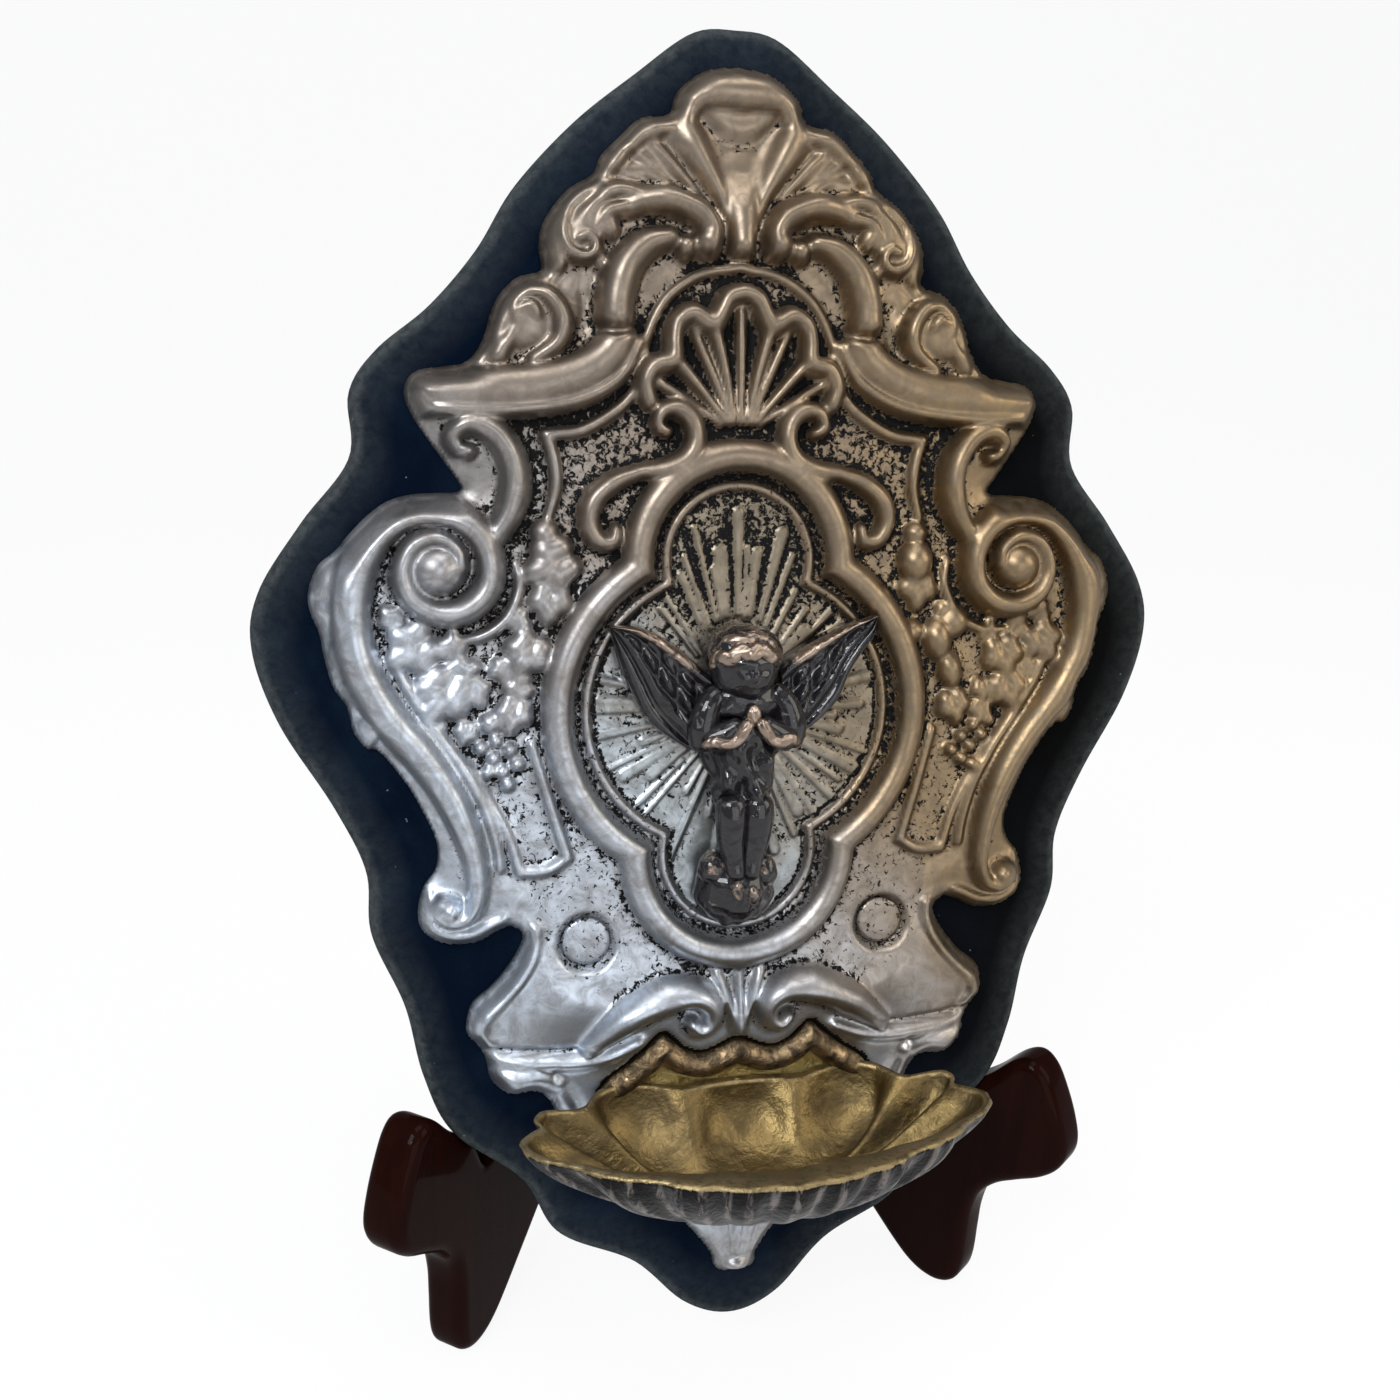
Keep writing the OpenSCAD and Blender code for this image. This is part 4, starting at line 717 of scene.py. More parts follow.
def sheet_over(xs, ys, height, inside, foot):
    """Points and faces of a sheet over the grid squares inside a signed distance, with its edge points moved
    onto the outline and turned down to the height foot, and each point's place in the grid."""
    step = xs[1] - xs[0]
    keep = inside < 0.3 * step
    cell = keep[:-1, :-1] & keep[1:, :-1] & keep[:-1, 1:] & keep[1:, 1:]
    padded = np.pad(cell, 1)
    around = padded[:-1, :-1].astype(int) + padded[1:, :-1] + padded[:-1, 1:] + padded[1:, 1:]
    used = around > 0
    rim = used & (around < 4)
    x, y = np.meshgrid(xs, ys)
    slope_y, slope_x = np.gradient(inside, step)
    x = np.where(rim, x - inside * slope_x, x)
    y = np.where(rim, y - inside * slope_y, y)
    number = np.cumsum(used).reshape(used.shape) - 1
    top = np.stack([x, y, height], -1)[used]
    i, j = np.nonzero(cell)
    faces = np.stack([number[i, j], number[i, j + 1], number[i + 1, j + 1], number[i + 1, j]], -1)
    low = np.cumsum(rim).reshape(rim.shape) - 1 + len(top)
    bottom = np.stack([x, y, np.full_like(x, foot)], -1)[rim]
    walls = []
    for di, dj, first, second in (
        (0, 1, (0, 0), (0, 1)), (1, 2, (0, 1), (1, 1)), (2, 1, (1, 1), (1, 0)), (1, 0, (1, 0), (0, 0)),
    ):
        open_side = cell & ~padded[di : di + cell.shape[0], dj : dj + cell.shape[1]]
        r, c = np.nonzero(open_side)
        a, b = (r + first[0], c + first[1]), (r + second[0], c + second[1])
        walls.append(np.stack([number[b], number[a], low[a], low[b]], -1))
    place = np.concatenate([np.flatnonzero(used), np.flatnonzero(rim)])
    return np.concatenate([top, bottom]), np.concatenate([faces] + walls), place


def darker(colour, share):
    """A colour times a share."""
    return tuple(share * channel for channel in colour[:3]) + (1,)


def silver_finish(name, bright, film_left, film_warm_lit, film_from):
    """Worn silver: bright metal, bluish as painted cool light, under a brown film that thickens up and to
    the right of the stoup and is redder there, its growth and redness to the right partly painted warm
    light. The metal is browner towards the bottom of the tail, darker where its mark of tarnish and
    painted shade is high, and broken by black flakes there."""
    finish, tree, shader = blank_finish(name)
    place = place_of(tree)
    axis = wire(tree, "ShaderNodeSeparateXYZ", {"Vector": place}).outputs
    cloud = mottle(tree, place, 38, 5, 0.6, 0.6)
    lean = plus(tree, reckon(tree, "MULTIPLY", axis["X"], FILM_AND_WARM_LIGHT_ACROSS), axis["Z"], FILM_UP)
    lean = plus(tree, lean, ease(tree, axis["Z"], 0.030, 0.050, 0.45, 0.0))
    filmed = ease(tree, plus(tree, lean, cloud, 0.5), film_from, FILM_FULL)
    # The film turns redder to the right as painted warm light
    film = tint(tree, ease(tree, axis["X"], -0.05, 0.06), film_left, film_warm_lit)
    streak = ease(tree, mottle(tree, place, 230, 7, 0.70, 0.9), 0.34, 0.70)
    metal = tint(tree, filmed, bright, film)
    metal = tint(tree, reckon(tree, "MULTIPLY", streak, 0.55), metal, darker(film_left, 0.5))
    # Black tarnish, with painted shadow along the bowl's plate and round the nails
    tarnish_and_shade = mark_of(tree, "tarnish_and_shade")
    shade = reckon(tree, "MULTIPLY", ease(tree, tarnish_and_shade, 0.50, 1.0), 0.5)
    metal = tint(tree, shade, metal, darker(film_left, 0.25))
    flake = mottle(tree, place, 880, 6, 0.68, 0.7)
    dark = ease(tree, plus(tree, flake, reckon(tree, "SUBTRACT", tarnish_and_shade, 0.5), 0.72), 0.50, 0.55)
    dents = reckon(tree, "MULTIPLY", mottle(tree, place, 130, 3, 0.5), 0.8)
    dents = plus(tree, dents, mottle(tree, place, 620, 4, 0.6), 0.22)
    plug(tree, shader, {
        "Base Color": tint(tree, dark, metal, SILVER_BLACK),
        "Metallic": ease(tree, dark, 0, 1, 1.0, 0.25),
        "Roughness": plus(tree, plus(tree, SILVER_ROUGH, streak, 0.14), dark, 0.2),
        "Normal": ripple(tree, plus(tree, dents, dark, -0.35), 0.00035, 0.55),
        "Specular IOR Level": 0.08,
    })
    return finish


# The ground swells up inside the rim, and stands higher round the field and over the skirt
xs, ys = square_grid(88, -131, 130, RELIEF_STEP)
across, upward = np.meshgrid(np.abs(xs), ys)
rim_gap = edge_distance(xs, ys, smooth_line(PLAQUE_HALF, LINE_STEP))
inner = unit(-rim_gap / SWELL_WIDE)
in_field = unit(0.5 - edge_distance(xs, ys, smooth_line(FIELD_HALF, 1.2)) / 3)
ground = EDGE_HIGH + SWELL_HIGH * np.sin(inner * math.pi / 2) + BORDER_HIGH * (1 - in_field) * inner
ground += sum(high * swell(xs, ys, *where) for high, *where in SWELLINGS)
roll = half_round((rim_gap + RIM_HALF) / RIM_HALF)
rolled = np.interp(ys, RIM_UP, RIM_SHARE)[:, None]
relief = filleted(ground, ground + RIM_HIGH * roll * rolled - 0.01, 0.5)
fan(relief, xs, ys, *CREST_FAN)
# The right half's bands, buds and lines, and their mirror image
right = xs >= -RELIEF_STEP / 4
side_xs, side_relief, side_ground = xs[right], relief[:, right].copy(), ground[:, right]
for path, widths, heights, crown in SCROLLS:
    emboss(side_relief, side_ground, side_xs, ys, path, widths, heights, crown)
for bud in BUDS:
    mound(side_relief, side_ground, side_xs, ys, *bud)
for line in LINES:
    chase(side_relief, side_xs, ys, *line)
relief = np.concatenate([side_relief[:, :0:-1], side_relief], 1)
# The palmette's cup, hollowed between its edges and under its rim
cup_rim = CUP_RIM + CUP_RIM_RISE * unit(across / 8) ** 2
cup_side = np.interp(upward, CUP_UP, CUP_HALF)
cup = unit((cup_side - across) / 5.5) * unit((cup_rim - upward) / 3.2) * unit((upward - 97) / 20)
relief -= CUP_DEPTH * cup * cup * (3 - 2 * cup)
# The medallion's moulding, the garlands, and the sunk plate's bead
lens = medallion(xs, ys)
tube_lift = TUBE_HIGH * half_round(lens / TUBE_HALF) - 2 * np.clip(np.abs(lens) - TUBE_HALF, 0, 9)
relief = filleted(relief, ground + tube_lift, 0.7)
for bud in LEAVES:
    leaf(relief, ground, xs, ys, *bud)
for bud in FRUIT + [(x, y, GRAPE_R, GRAPE_R, 0, GRAPE_HIGH) for x, y in GRAPES]:
    mound(relief, ground, xs, ys, *bud)
relief = np.where(lens < -3, np.minimum(relief, SUNK_Z + 6 * unit((lens + 4.2) / 1.2)), relief)
bead = BEAD_HIGH * half_round((lens - BEAD_AT) / BEAD_HALF)
relief = np.maximum(relief, np.where(lens < -4.6, SUNK_Z + bead, 0))
# The nails' seats, the tail, and the seat of the bowl's plate
nail_gap = np.hypot(across - NAIL_AT[0], upward - NAIL_AT[1])
nail_seat = NAIL_SEAT[0] + NAIL_SEAT[1] * np.clip(nail_gap - 5.3, 0, 2)
relief = np.where(nail_gap < 6.6, np.minimum(relief, nail_seat), relief)
pendant = unit((TAIL_TOP - upward) / TAIL_LONG)
cone = TAIL_TAPER * (1 - pendant) + TAIL_END
tail = half_round(across / cone)
flutes = FLUTE_HIGH * np.abs(np.cos(2.5 * math.pi * across / cone)) * (tail > 0) * (upward > FLUTES_END)
tip = 3.2 * swell(xs, ys, 0, -127.4, 4, 2.2)
tail_high = 0.6 + (4.6 - 2.6 * pendant) * tail + flutes + tip
relief = np.where(upward < TAIL_TOP, np.maximum(relief, tail_high), relief)
plate_edge = edge_distance(xs, ys, smooth_line(PLATE_HALF, 0.6))
relief = np.minimum(relief, PLATE_SEAT[0] + PLATE_SEAT[1] * np.clip(plate_edge + 0.2, 0, 9))
# The whole sheet is softened, and its edge turned down: near the rim no point stands higher than a slope
weight = (rim_gap < 0).astype(float)
relief = (1 - SOFTENED) * relief + SOFTENED * blurred(relief, weight, 1)
relief = -filleted(-relief, EDGE_SLOPE * np.minimum(rim_gap, 0) - 0.5, 1.4)

# Tarnish: on the field's plain ground, in hollows and creases, and, mixed with painted shadow, along the
# applied pieces
hollow = hollows(relief, weight, 4, 0, 0.8)
deep = hollows(relief, weight, 11, 0.8, 1.6)
crease = hollows(relief, weight, 2, 0.22, 0.45)
plain = unit(1.15 - (relief - ground) / 1.3)
stale = np.interp(ys, STALE_UP, STALE)[:, None]
thickest = np.interp(ys, THICKEST_UP, THICKEST)[:, None]
tarnish_and_shade = GRIME_LEAST + in_field * (stale * plain + GRIME_FIELD[0] * hollow + GRIME_FIELD[1] * deep)
tarnish_and_shade += (1 - in_field) * (GRIME_BORDER[0] * hollow + GRIME_BORDER[1] * deep)
tarnish_and_shade = np.where((lens < -2.6) & (lens > -7.4), np.maximum(tarnish_and_shade, 0.38 + 0.2 * hollow), tarnish_and_shade)
tarnish_and_shade += sum(share * swell(xs, ys, *where) for share, *where in GRIME_PATCHES)
tarnish_and_shade = np.minimum(tarnish_and_shade, thickest) + GRIME_CREASE * crease
tarnish_and_shade *= np.clip(-rim_gap / 4, 0.1, 1)
# Painted shadow, with tarnish: a black line along the bowl's plate and a dark ring round each nail
tarnish_and_shade = np.where((plate_edge > -2) & (plate_edge < 1.1), TARNISH_AND_SHADOW_PLATE, tarnish_and_shade)
tarnish_and_shade = np.where(np.abs(nail_gap - 5.8) < 0.7, np.maximum(tarnish_and_shade, TARNISH_AND_SHADOW_NAIL), tarnish_and_shade)

silver = silver_finish("tarnished_silver", SILVER_BRIGHT, SILVER_FILM_LEFT, SILVER_FILM_WARM_LIT, 0.50)
points, faces, place_in = sheet_over(xs, ys, relief, rim_gap, 0.0)
stoup_piece("plaque", points, faces, silver, "silver_plaque", {"tarnish_and_shade": tarnish_and_shade.ravel()[place_in]})

# Glory plate
# A separate silver plate let in behind the medallion's bead, chased with bars of
# light that fan out from behind the angel. A pale line of dried polish follows the
# angel's legs and globe, where a cloth could not reach.
GLORY_STEP = 0.42
GLORY_INSET = 7.0
GLORY_Z = 1.9
GLORY_FOOT = 1.2
# Bars over the head: turn from upright in degrees, start, end, widths at both ends
HEAD_BARS = [
    (0, 20, 41, 1.6, 2.6), (-7, 20, 33, 2.2, 3.6), (7, 20, 33, 2, 2.6), (-14, 19, 39, 1, 1.6),
    (14.5, 19, 38, 1.2, 3), (3.4, 19, 34, 0.8, 1.2), (-10.6, 19, 30, 0.8, 1.4), (-20, 18, 34, 1, 1.4),
    (20, 18, 34, 1, 1.8),
]
# Bars all round: number, spread and jitter in degrees, and the ranges of start, end and width
GLORY_BARS = 44
BAR_SPREAD = (26, 334)
BAR_JITTER = 3.4
BAR_START = (9, 17)
BAR_END = (21, 38)
BAR_WIDE = (1.2, 3.2)
BAR_HEIGHTS = [0.45, 0.7]
# Where the polish has dried: the robe's half width by height, and round the globe
ROBE_UP = [-50, -34, -30, -21, -8]
ROBE_HALF = [0, 6, 5.4, 6.6, 8.4]
GLOBE_AT = (-1.2, -38.6)
POLISH_R = 9.6
POLISH_WIDE = 0.9
# Bare silver, its blue tint painted cool light, and the film's colours at the left and at the right, the
# right one redder as painted warm light
GLORY_BRIGHT = (0.40, 0.455, 0.50, 1)
GLORY_FILM_LEFT = (0.22, 0.19, 0.15, 1)
GLORY_FILM_WARM_LIT = (0.21, 0.165, 0.11, 1)
glory_xs, glory_ys = square_grid(34, -49, 48, GLORY_STEP)
glory_edge = medallion(glory_xs, glory_ys) + GLORY_INSET
plate = np.full(glory_edge.shape, GLORY_Z)
rays = plate.copy()
chance = np.random.default_rng(7)
swing = np.linspace(*BAR_SPREAD, GLORY_BARS) + chance.uniform(-BAR_JITTER, BAR_JITTER, GLORY_BARS)
starts = chance.uniform(*BAR_START, GLORY_BARS)
ends = chance.uniform(*BAR_END, GLORY_BARS)
broad = chance.uniform(*BAR_WIDE, GLORY_BARS)
for turn_by, start, end, first, last in HEAD_BARS + list(zip(swing, starts, ends, 0.55 * broad, broad)):
    aim = np.array([math.sin(math.radians(turn_by)), math.cos(math.radians(turn_by))])
    emboss(rays, plate, glory_xs, glory_ys, [aim * start, aim * end], [first, last], BAR_HEIGHTS, 0.35, 0.4)
gx, gy = glory_xs[None, :], glory_ys[:, None]
groove = hollows(rays, np.ones(rays.shape), 4, 0, 0.5)
between = 1 - unit((rays - plate) / 0.5)
glory_grime = 0.34 + 0.28 * groove + 0.19 * unit((gy - 12) / 14) * between
glory_grime = np.where(glory_edge > -1.2, 0.62, glory_grime)
robe_gap = np.where(gy < -8, np.abs(gx) - np.interp(gy, ROBE_UP, ROBE_HALF) - POLISH_WIDE, 9)
globe_gap = np.hypot(gx - GLOBE_AT[0], gy - GLOBE_AT[1]) - POLISH_R
polish_gap = np.where(gy < -33, globe_gap, np.minimum(robe_gap, np.abs(globe_gap) + 9))
polish = unit(1 - np.abs(polish_gap) / POLISH_WIDE)
glory_silver = silver_finish("glory_silver", GLORY_BRIGHT, GLORY_FILM_LEFT, GLORY_FILM_WARM_LIT, 0.66)
points, faces, place_in = sheet_over(glory_xs, glory_ys, rays, glory_edge, GLORY_FOOT)
marks = {"tarnish_and_shade": unit(glory_grime - polish).ravel()[place_in]}
stoup_piece("glory", points, faces, glory_silver, "glory_plate", marks)

# Nail discs and angel studs
# Flat-headed silver nails hold the plaque to the board, one each side of the
# medallion. The studs behind the angel stay out of sight.
NAIL_R = 5.2
NAIL_TOP = 2.3
NAIL_FOOT = 1.2
# From the middle of the top to the middle of the underside: radius, height, and tarnish, darker at the
# rim as painted shadow
NAIL_RINGS = [
    (0, NAIL_TOP, 0.36), (2, NAIL_TOP, 0.36), (4.2, NAIL_TOP, 0.38), (NAIL_R - 0.4, NAIL_TOP - 0.1, 0.43),
    (NAIL_R, NAIL_TOP - 0.5, 0.50), (NAIL_R, NAIL_FOOT, 0.50), (0, NAIL_FOOT, 0.50),
]
nail_turn = np.linspace(0, 2 * math.pi, 48, endpoint=False)
circle = np.stack([np.cos(nail_turn), -np.sin(nail_turn)], -1)
nail = np.concatenate([level(circle * radius, z) for radius, z, stain in NAIL_RINGS])
nail_tarnish_and_shadow = np.concatenate([np.full(len(circle), stain) for radius, z, stain in NAIL_RINGS])
nail_faces = outward(nail, grid_faces(len(NAIL_RINGS), len(circle), wrap=True))
both_nails = np.concatenate([nail + (side * NAIL_AT[0], NAIL_AT[1], 0) for side in (-1, 1)])
both_faces = np.concatenate([nail_faces, nail_faces + len(nail)])
marks = {"tarnish_and_shade": np.tile(nail_tarnish_and_shadow, 2)}
stoup_piece("nail_discs", both_nails, both_faces, silver, "plaque_nails", marks)
dress(silver, "angel_studs")

# Angel
# A small cast figure with folded hands, spread wings and a globe under its feet,
# blackened all over and worn to coppery metal on its hair, sleeves and wing tops.
ANGEL_Z = 3.2
# Wings: leading and trailing edges
WINGS = [
    ([(-7, 8), (-9.4, 10), (-14.3, 14.2), (-21.2, 17.8), (-27.8, 18.2)],
     [(-9, -9), (-12, -8), (-19.4, -2.6), (-22.8, 2.8), (-26, 10), (-27.8, 17.4)]),
    ([(7.4, 8.6), (9.8, 11), (15.1, 14.1), (22.4, 17.5), (29.2, 19.4)],
     [(9.4, -6.4), (14.6, -4.8), (20.6, 0.6), (23.4, 6), (26.4, 11), (29, 15), (29.4, 18.8)]),
]
# The robe's half width and depth by height
ROBE_AT = [-23, -20, -16, -12, -8, -2, 3, 7]
ROBE_WIDE = [4.6, 6.0, 7.0, 7.3, 8.0, 8.4, 6, 3.2]
ROBE_DEEP = [6.0, 8.2, 9.2, 9.4, 9.6, 9.6, 8.6, 7]
# The face's bumps and hollows: height, place and half sizes as shares of the head's radius
FACE = [
    (0.05, 0.12, 0.12, 0.5, 0.1), (-0.09, -0.14, -0.04, 0.13, 0.09), (-0.09, 0.38, -0.04, 0.13, 0.09),
    (0.04, -0.14, -0.05, 0.07, 0.05), (0.04, 0.38, -0.05, 0.07, 0.05), (0.16, 0.12, -0.2, 0.08, 0.17),
    (0.06, -0.2, -0.34, 0.2, 0.16), (0.06, 0.44, -0.34, 0.2, 0.16), (0.06, 0.12, -0.5, 0.15, 0.05),
    (-0.05, 0.12, -0.56, 0.14, 0.03), (0.06, 0.12, -0.62, 0.13, 0.05), (0.07, 0.12, -0.8, 0.18, 0.12),
]
# Two locks of hair over the brow
FRINGE = [
    (-7.8, 9, 10.4), (-6.6, 12, 12.6), (-4.6, 11.8, 14.4), (-2.6, 13.4, 14.8), (-0.6, 12.6, 15.6),
    (1.4, 13.6, 15), (3.4, 12, 14.6), (5.2, 12.2, 12.8), (6.4, 9.6, 10.6),
]
CROWN_LOCK = [
    (-7, 13.4, 10.4), (-4.4, 15, 12.6), (-1.6, 15, 13.6), (1.2, 15.8, 13), (4, 14.2, 12.6), (6, 13.4, 10.4),
]
ANGEL_BLACK = (0.004, 0.0036, 0.005, 1)
ANGEL_GREY = (0.014, 0.012, 0.014, 1)
ANGEL_COPPER = (0.26, 0.195, 0.15, 1)
ANGEL_PARTS = []


def angel_part(points, faces, worn):
    """Adds one closed surface of the figure, with how far its metal is worn bare."""
    ANGEL_PARTS.append((points, outward(points, faces), np.broadcast_to(worn, len(points))))


def ball(centre, radii, rows=18, columns=28, ripple_by=None):
    """A closed ellipsoid as a grid of latitude and longitude, its radius times one plus a ripple of the
    two."""
    down = np.linspace(0, math.pi, rows)
    v, u = np.meshgrid(down, np.linspace(0, 2 * math.pi, columns, endpoint=False), indexing="ij")
    out = np.stack([np.sin(v) * np.cos(u), np.cos(v), np.sin(v) * np.sin(u)], -1)
    size = 1 if ripple_by is None else 1 + ripple_by(out)[..., None]
    return (np.asarray(centre) + out * radii * size).reshape(-1, 3), grid_faces(rows, columns, wrap=True)


def tube(path, radii, columns=14, step=0.8):
    """A round bar along a smooth path in space: circles across the path, their radius read along it, closed
    to a point at both ends."""
    line = smooth_line(path, step)
    ahead = np.gradient(line, axis=0)
    ahead /= np.linalg.norm(ahead, axis=1)[:, None]
    side = np.cross(ahead, (0.0, 0.0, 1.0))
    side /= np.maximum(np.linalg.norm(side, axis=1), 1e-6)[:, None]
    lift = np.cross(side, ahead)
    share = np.linspace(0, 1, len(line))
    radius = np.interp(share, np.linspace(0, 1, len(radii)), radii)
    radius = radius * unit(1 - (2 * share - 1) ** 12) ** 0.5
    turn = np.linspace(0, 2 * math.pi, columns, endpoint=False)[:, None]
    circles = side[:, None] * np.cos(turn) + lift[:, None] * np.sin(turn)
    rows = line[:, None] + radius[:, None, None] * circles
    return rows.reshape(-1, 3), grid_faces(len(line), columns, wrap=True)


def bump(out, x, y, wide, tall):
    """A bell-shaped bump on the front of a ball, at a place given as shares of its radius."""
    return np.exp(-(((out[..., 0] - x) / wide) ** 2) - ((out[..., 1] - y) / tall) ** 2) * (out[..., 2] > 0)


def calm_face(out):
    """A plain child's face on a ball: brow, two eye hollows with lids, a short nose, cheeks, lips, chin."""
    return sum(high * bump(out, *where) for high, *where in FACE)


def cloudy(out):
    """Soft rolling waves over a ball."""
    x, y = out[..., 0], out[..., 1]
    return 0.05 * np.sin(5 * x + 3 * y) * np.cos(6 * y - 2 * x) + 0.02 * np.sin(17 * x)


def combed(out):
    """Fine slanting waves over a ball, as combed hair."""
    return 0.03 * np.sin(13 * out[..., 0] + 6 * out[..., 1])


def robe_form(rows=70, columns=44):
    """The robe: rings from the neck to the hem, flat at the back, with folds that deepen downwards as waves
    of the turn round it."""
    up = np.linspace(ROBE_AT[-1], ROBE_AT[0], rows)[:, None]
    turn = np.linspace(0, math.pi, columns)[None, :]
    wide = np.interp(up, ROBE_AT, ROBE_WIDE)
    deep = np.interp(up, ROBE_AT, ROBE_DEEP)
    folds = 0.10 * np.sin(5 * turn + 0.3 * up + 0.6) + 0.07 * np.sin(9 * turn - 0.5 * up)
    folds = 1 + (folds + 0.04 * np.sin(0.9 * up + 4 * turn)) * unit((2 - up) / 12)
    out = ANGEL_Z + deep * np.sin(turn) * folds
    front = np.stack(np.broadcast_arrays(wide * np.cos(turn) * folds, up, out), -1)
    ends = [end.mean(1, keepdims=True).repeat(columns, 1) for end in (front[:1], front[-1:])]
    points = np.concatenate([ends[0], front, ends[1]])
    return points.reshape(-1, 3), grid_faces(rows + 2, columns, wrap=True)


def wing_form(top, low, rows=64, columns=48):
    """A wing between its leading and trailing edge: a thick rolled front edge, then lumps of short feathers
    as products of waves along and across it, then long feathers as waves across it, closed at its back."""
    u = np.linspace(0, 1, rows)[:, None]
    v = np.linspace(0, 1, columns)[None, :]
    lead, trail = (
        np.stack([np.interp(u[:, 0], np.linspace(0, 1, len(line)), line[:, k]) for k in (0, 1)], -1)
        for line in (smooth_line(top, 0.5), smooth_line(low, 0.5))
    )
    flat = lead[:, None] * (1 - v[..., None]) + trail[:, None] * v[..., None]
    arm = 3.0 * np.exp(-(((v - 0.1) / 0.1) ** 2)) * (1 - 0.3 * u)
    past_arm = unit((v - 0.18) / 0.12)
    lumps = np.abs(np.sin(math.pi * (5.5 * u + 1.2 * v))) * np.abs(np.sin(math.pi * (4.6 * v + 1.3 * u)))
    long_feathers = np.abs(np.sin(math.pi * (3.2 * v + 1.4 * u)))
    feathers = np.where(v + 0.5 * u < 0.8, 2.6 * lumps, 1.5 * long_feathers) * past_arm * (1 - 0.4 * u)
    high = 1.8 + 2.4 * np.sin(math.pi * np.clip(v, 0.04, 0.96)) ** 0.6 * (1 - 0.45 * u) + arm + feathers
    high *= unit(np.minimum(v, 1 - v) / 0.04) ** 0.5
    upper = np.concatenate([flat, (ANGEL_Z + high)[..., None]], -1)
    under = np.concatenate([flat, np.full(high.shape + (1,), ANGEL_Z)], -1)[:, ::-1]
    ring = np.concatenate([upper, under], 1)
    ends = [end.mean(1, keepdims=True).repeat(2 * columns, 1) for end in (ring[:1], ring[-1:])]
    points = np.concatenate([ends[0], ring, ends[1]])
    worn = np.zeros(points.shape[:2])
    worn[1:-1, :columns] = 0.8 * np.exp(-(((v - 0.09) / 0.09) ** 2)) * np.clip(u / 0.3, 0.3, 1) + 0.08
    return points.reshape(-1, 3), grid_faces(rows + 2, 2 * columns, wrap=True), worn.ravel()


for top, low in WINGS:
    angel_part(*wing_form(top, low))
angel_part(*robe_form(), 0.08)
angel_part(*ball((0, 2.2, 8.4), (8.6, 5.4, 5.2), 22, 32, cloudy), 0.24)
# Arms, worn sleeve bands, shins and feet, left and right
for s in (-1, 1):
    sleeve = [(4.8 * s, 5, 9), (8 * s, 1.6, 10), (9.4 * s, -3.4, 10), (9.4 * s, -8, 9.4)]
    angel_part(*tube(sleeve, [2.4, 3.0, 3.4, 2.4], 20), 0.14)
    forearm = [(9 * s, -5.6, 10.8), (5.4 * s, -4, 12.6), (1.6 * s, -1.4, 14)]
    angel_part(*tube(forearm, [3.2, 2.8, 1.8], 18), 0.2)
    band = [
        (10.4 * s, -6.2, 12.8), (8 * s, -4.9, 14.8), (5.6 * s, -5.4, 15.6), (3.6 * s, -4.6, 15.8),
        (1.8 * s, -1.9, 16.2), (0.4 * s, -0.4, 16.2),
    ]
    angel_part(*tube(band, [0.8, 1.2, 1.3, 1.3, 1.4, 1.2]), 0.86)
    shin = [
        (2.8 * s - 0.4, -17, 10), (2.8 * s - 0.5, -22, 10.4), (2.6 * s - 0.6, -27, 9.6),
        (1.8 * s - 0.6, -32, 9.6), (1.5 * s - 0.6, -36, 10.6),
    ]
    angel_part(*tube(shin, [3.4, 3.5, 3.1, 2.4, 1.9], 18), 0.16)
    angel_part(*ball((1.6 * s - 0.7, -37.8 - 0.6 * s, 12.2), (1.3, 2.2, 1.2), 14, 18), 0.5)
# Hands, globe, two clouds on it, head and hair
for centre, radii, rows, columns, form, worn in (
    ((0.1, 0.2, 15.2), (1.6, 2.2, 1.4), 14, 18, None, 0.85),
    ((*GLOBE_AT, ANGEL_Z), (8.8, 8.6, 9), 30, 44, cloudy, 0.26),
    ((-6.2, -33.6, 6.8), (3.6, 4.0, 3.6), 18, 24, cloudy, 0.38),
    ((4.4, -34.8, 6.8), (3.2, 3.8, 3.6), 18, 24, cloudy, 0.38),
    ((-0.6, 9.8, 9.6), (7.2, 7.6, 6.8), 44, 60, calm_face, 0.06),
    ((-0.6, 11.8, 8.8), (8.2, 6.6, 7.2), 36, 60, combed, 0.40),
):
    angel_part(*ball(centre, radii, rows, columns, form), worn)
angel_part(*tube(FRINGE, [0.9, 1.4, 1.7, 1.8, 1.7, 1.8, 1.6, 1.4, 0.9]), 0.84)
angel_part(*tube(CROWN_LOCK, [0.8, 1.5, 1.7, 1.6, 1.5, 0.8]), 0.58)

counts = np.cumsum([0] + [len(part[0]) for part in ANGEL_PARTS[:-1]])
angel_points = np.concatenate([part[0] for part in ANGEL_PARTS])
angel_points[:, 2] = np.maximum(angel_points[:, 2], ANGEL_Z)
angel_faces = np.concatenate([part[1] + first for part, first in zip(ANGEL_PARTS, counts)])
angel_worn = np.concatenate([part[2] for part in ANGEL_PARTS])

angel_finish, tree, shader = blank_finish("blackened_casting")
place = place_of(tree)
patch = mottle(tree, place, 330, 6, 0.65, 0.8)
worn = reckon(tree, "SUBTRACT", mark_of(tree, "worn"), 0.5)
bared = ease(tree, plus(tree, patch, worn, 0.8), 0.42, 0.62)
skin = tint(tree, mottle(tree, place, 120, 4, 0.6), ANGEL_BLACK, ANGEL_GREY)
plug(tree, shader, {
    "Base Color": tint(tree, bared, skin, ANGEL_COPPER),
    "Roughness": ease(tree, bared, 0, 1, 0.14, 0.36),
    "Metallic": bared,
    "Normal": ripple(tree, mottle(tree, place, 290, 1.0, 0.4, 0.6), 0.0024, 0.9),
    "Specular IOR Level": 0.10,
    "Coat Weight": 0.75,
    "Coat Roughness": 0.06,
})
marks = {"worn": angel_worn}
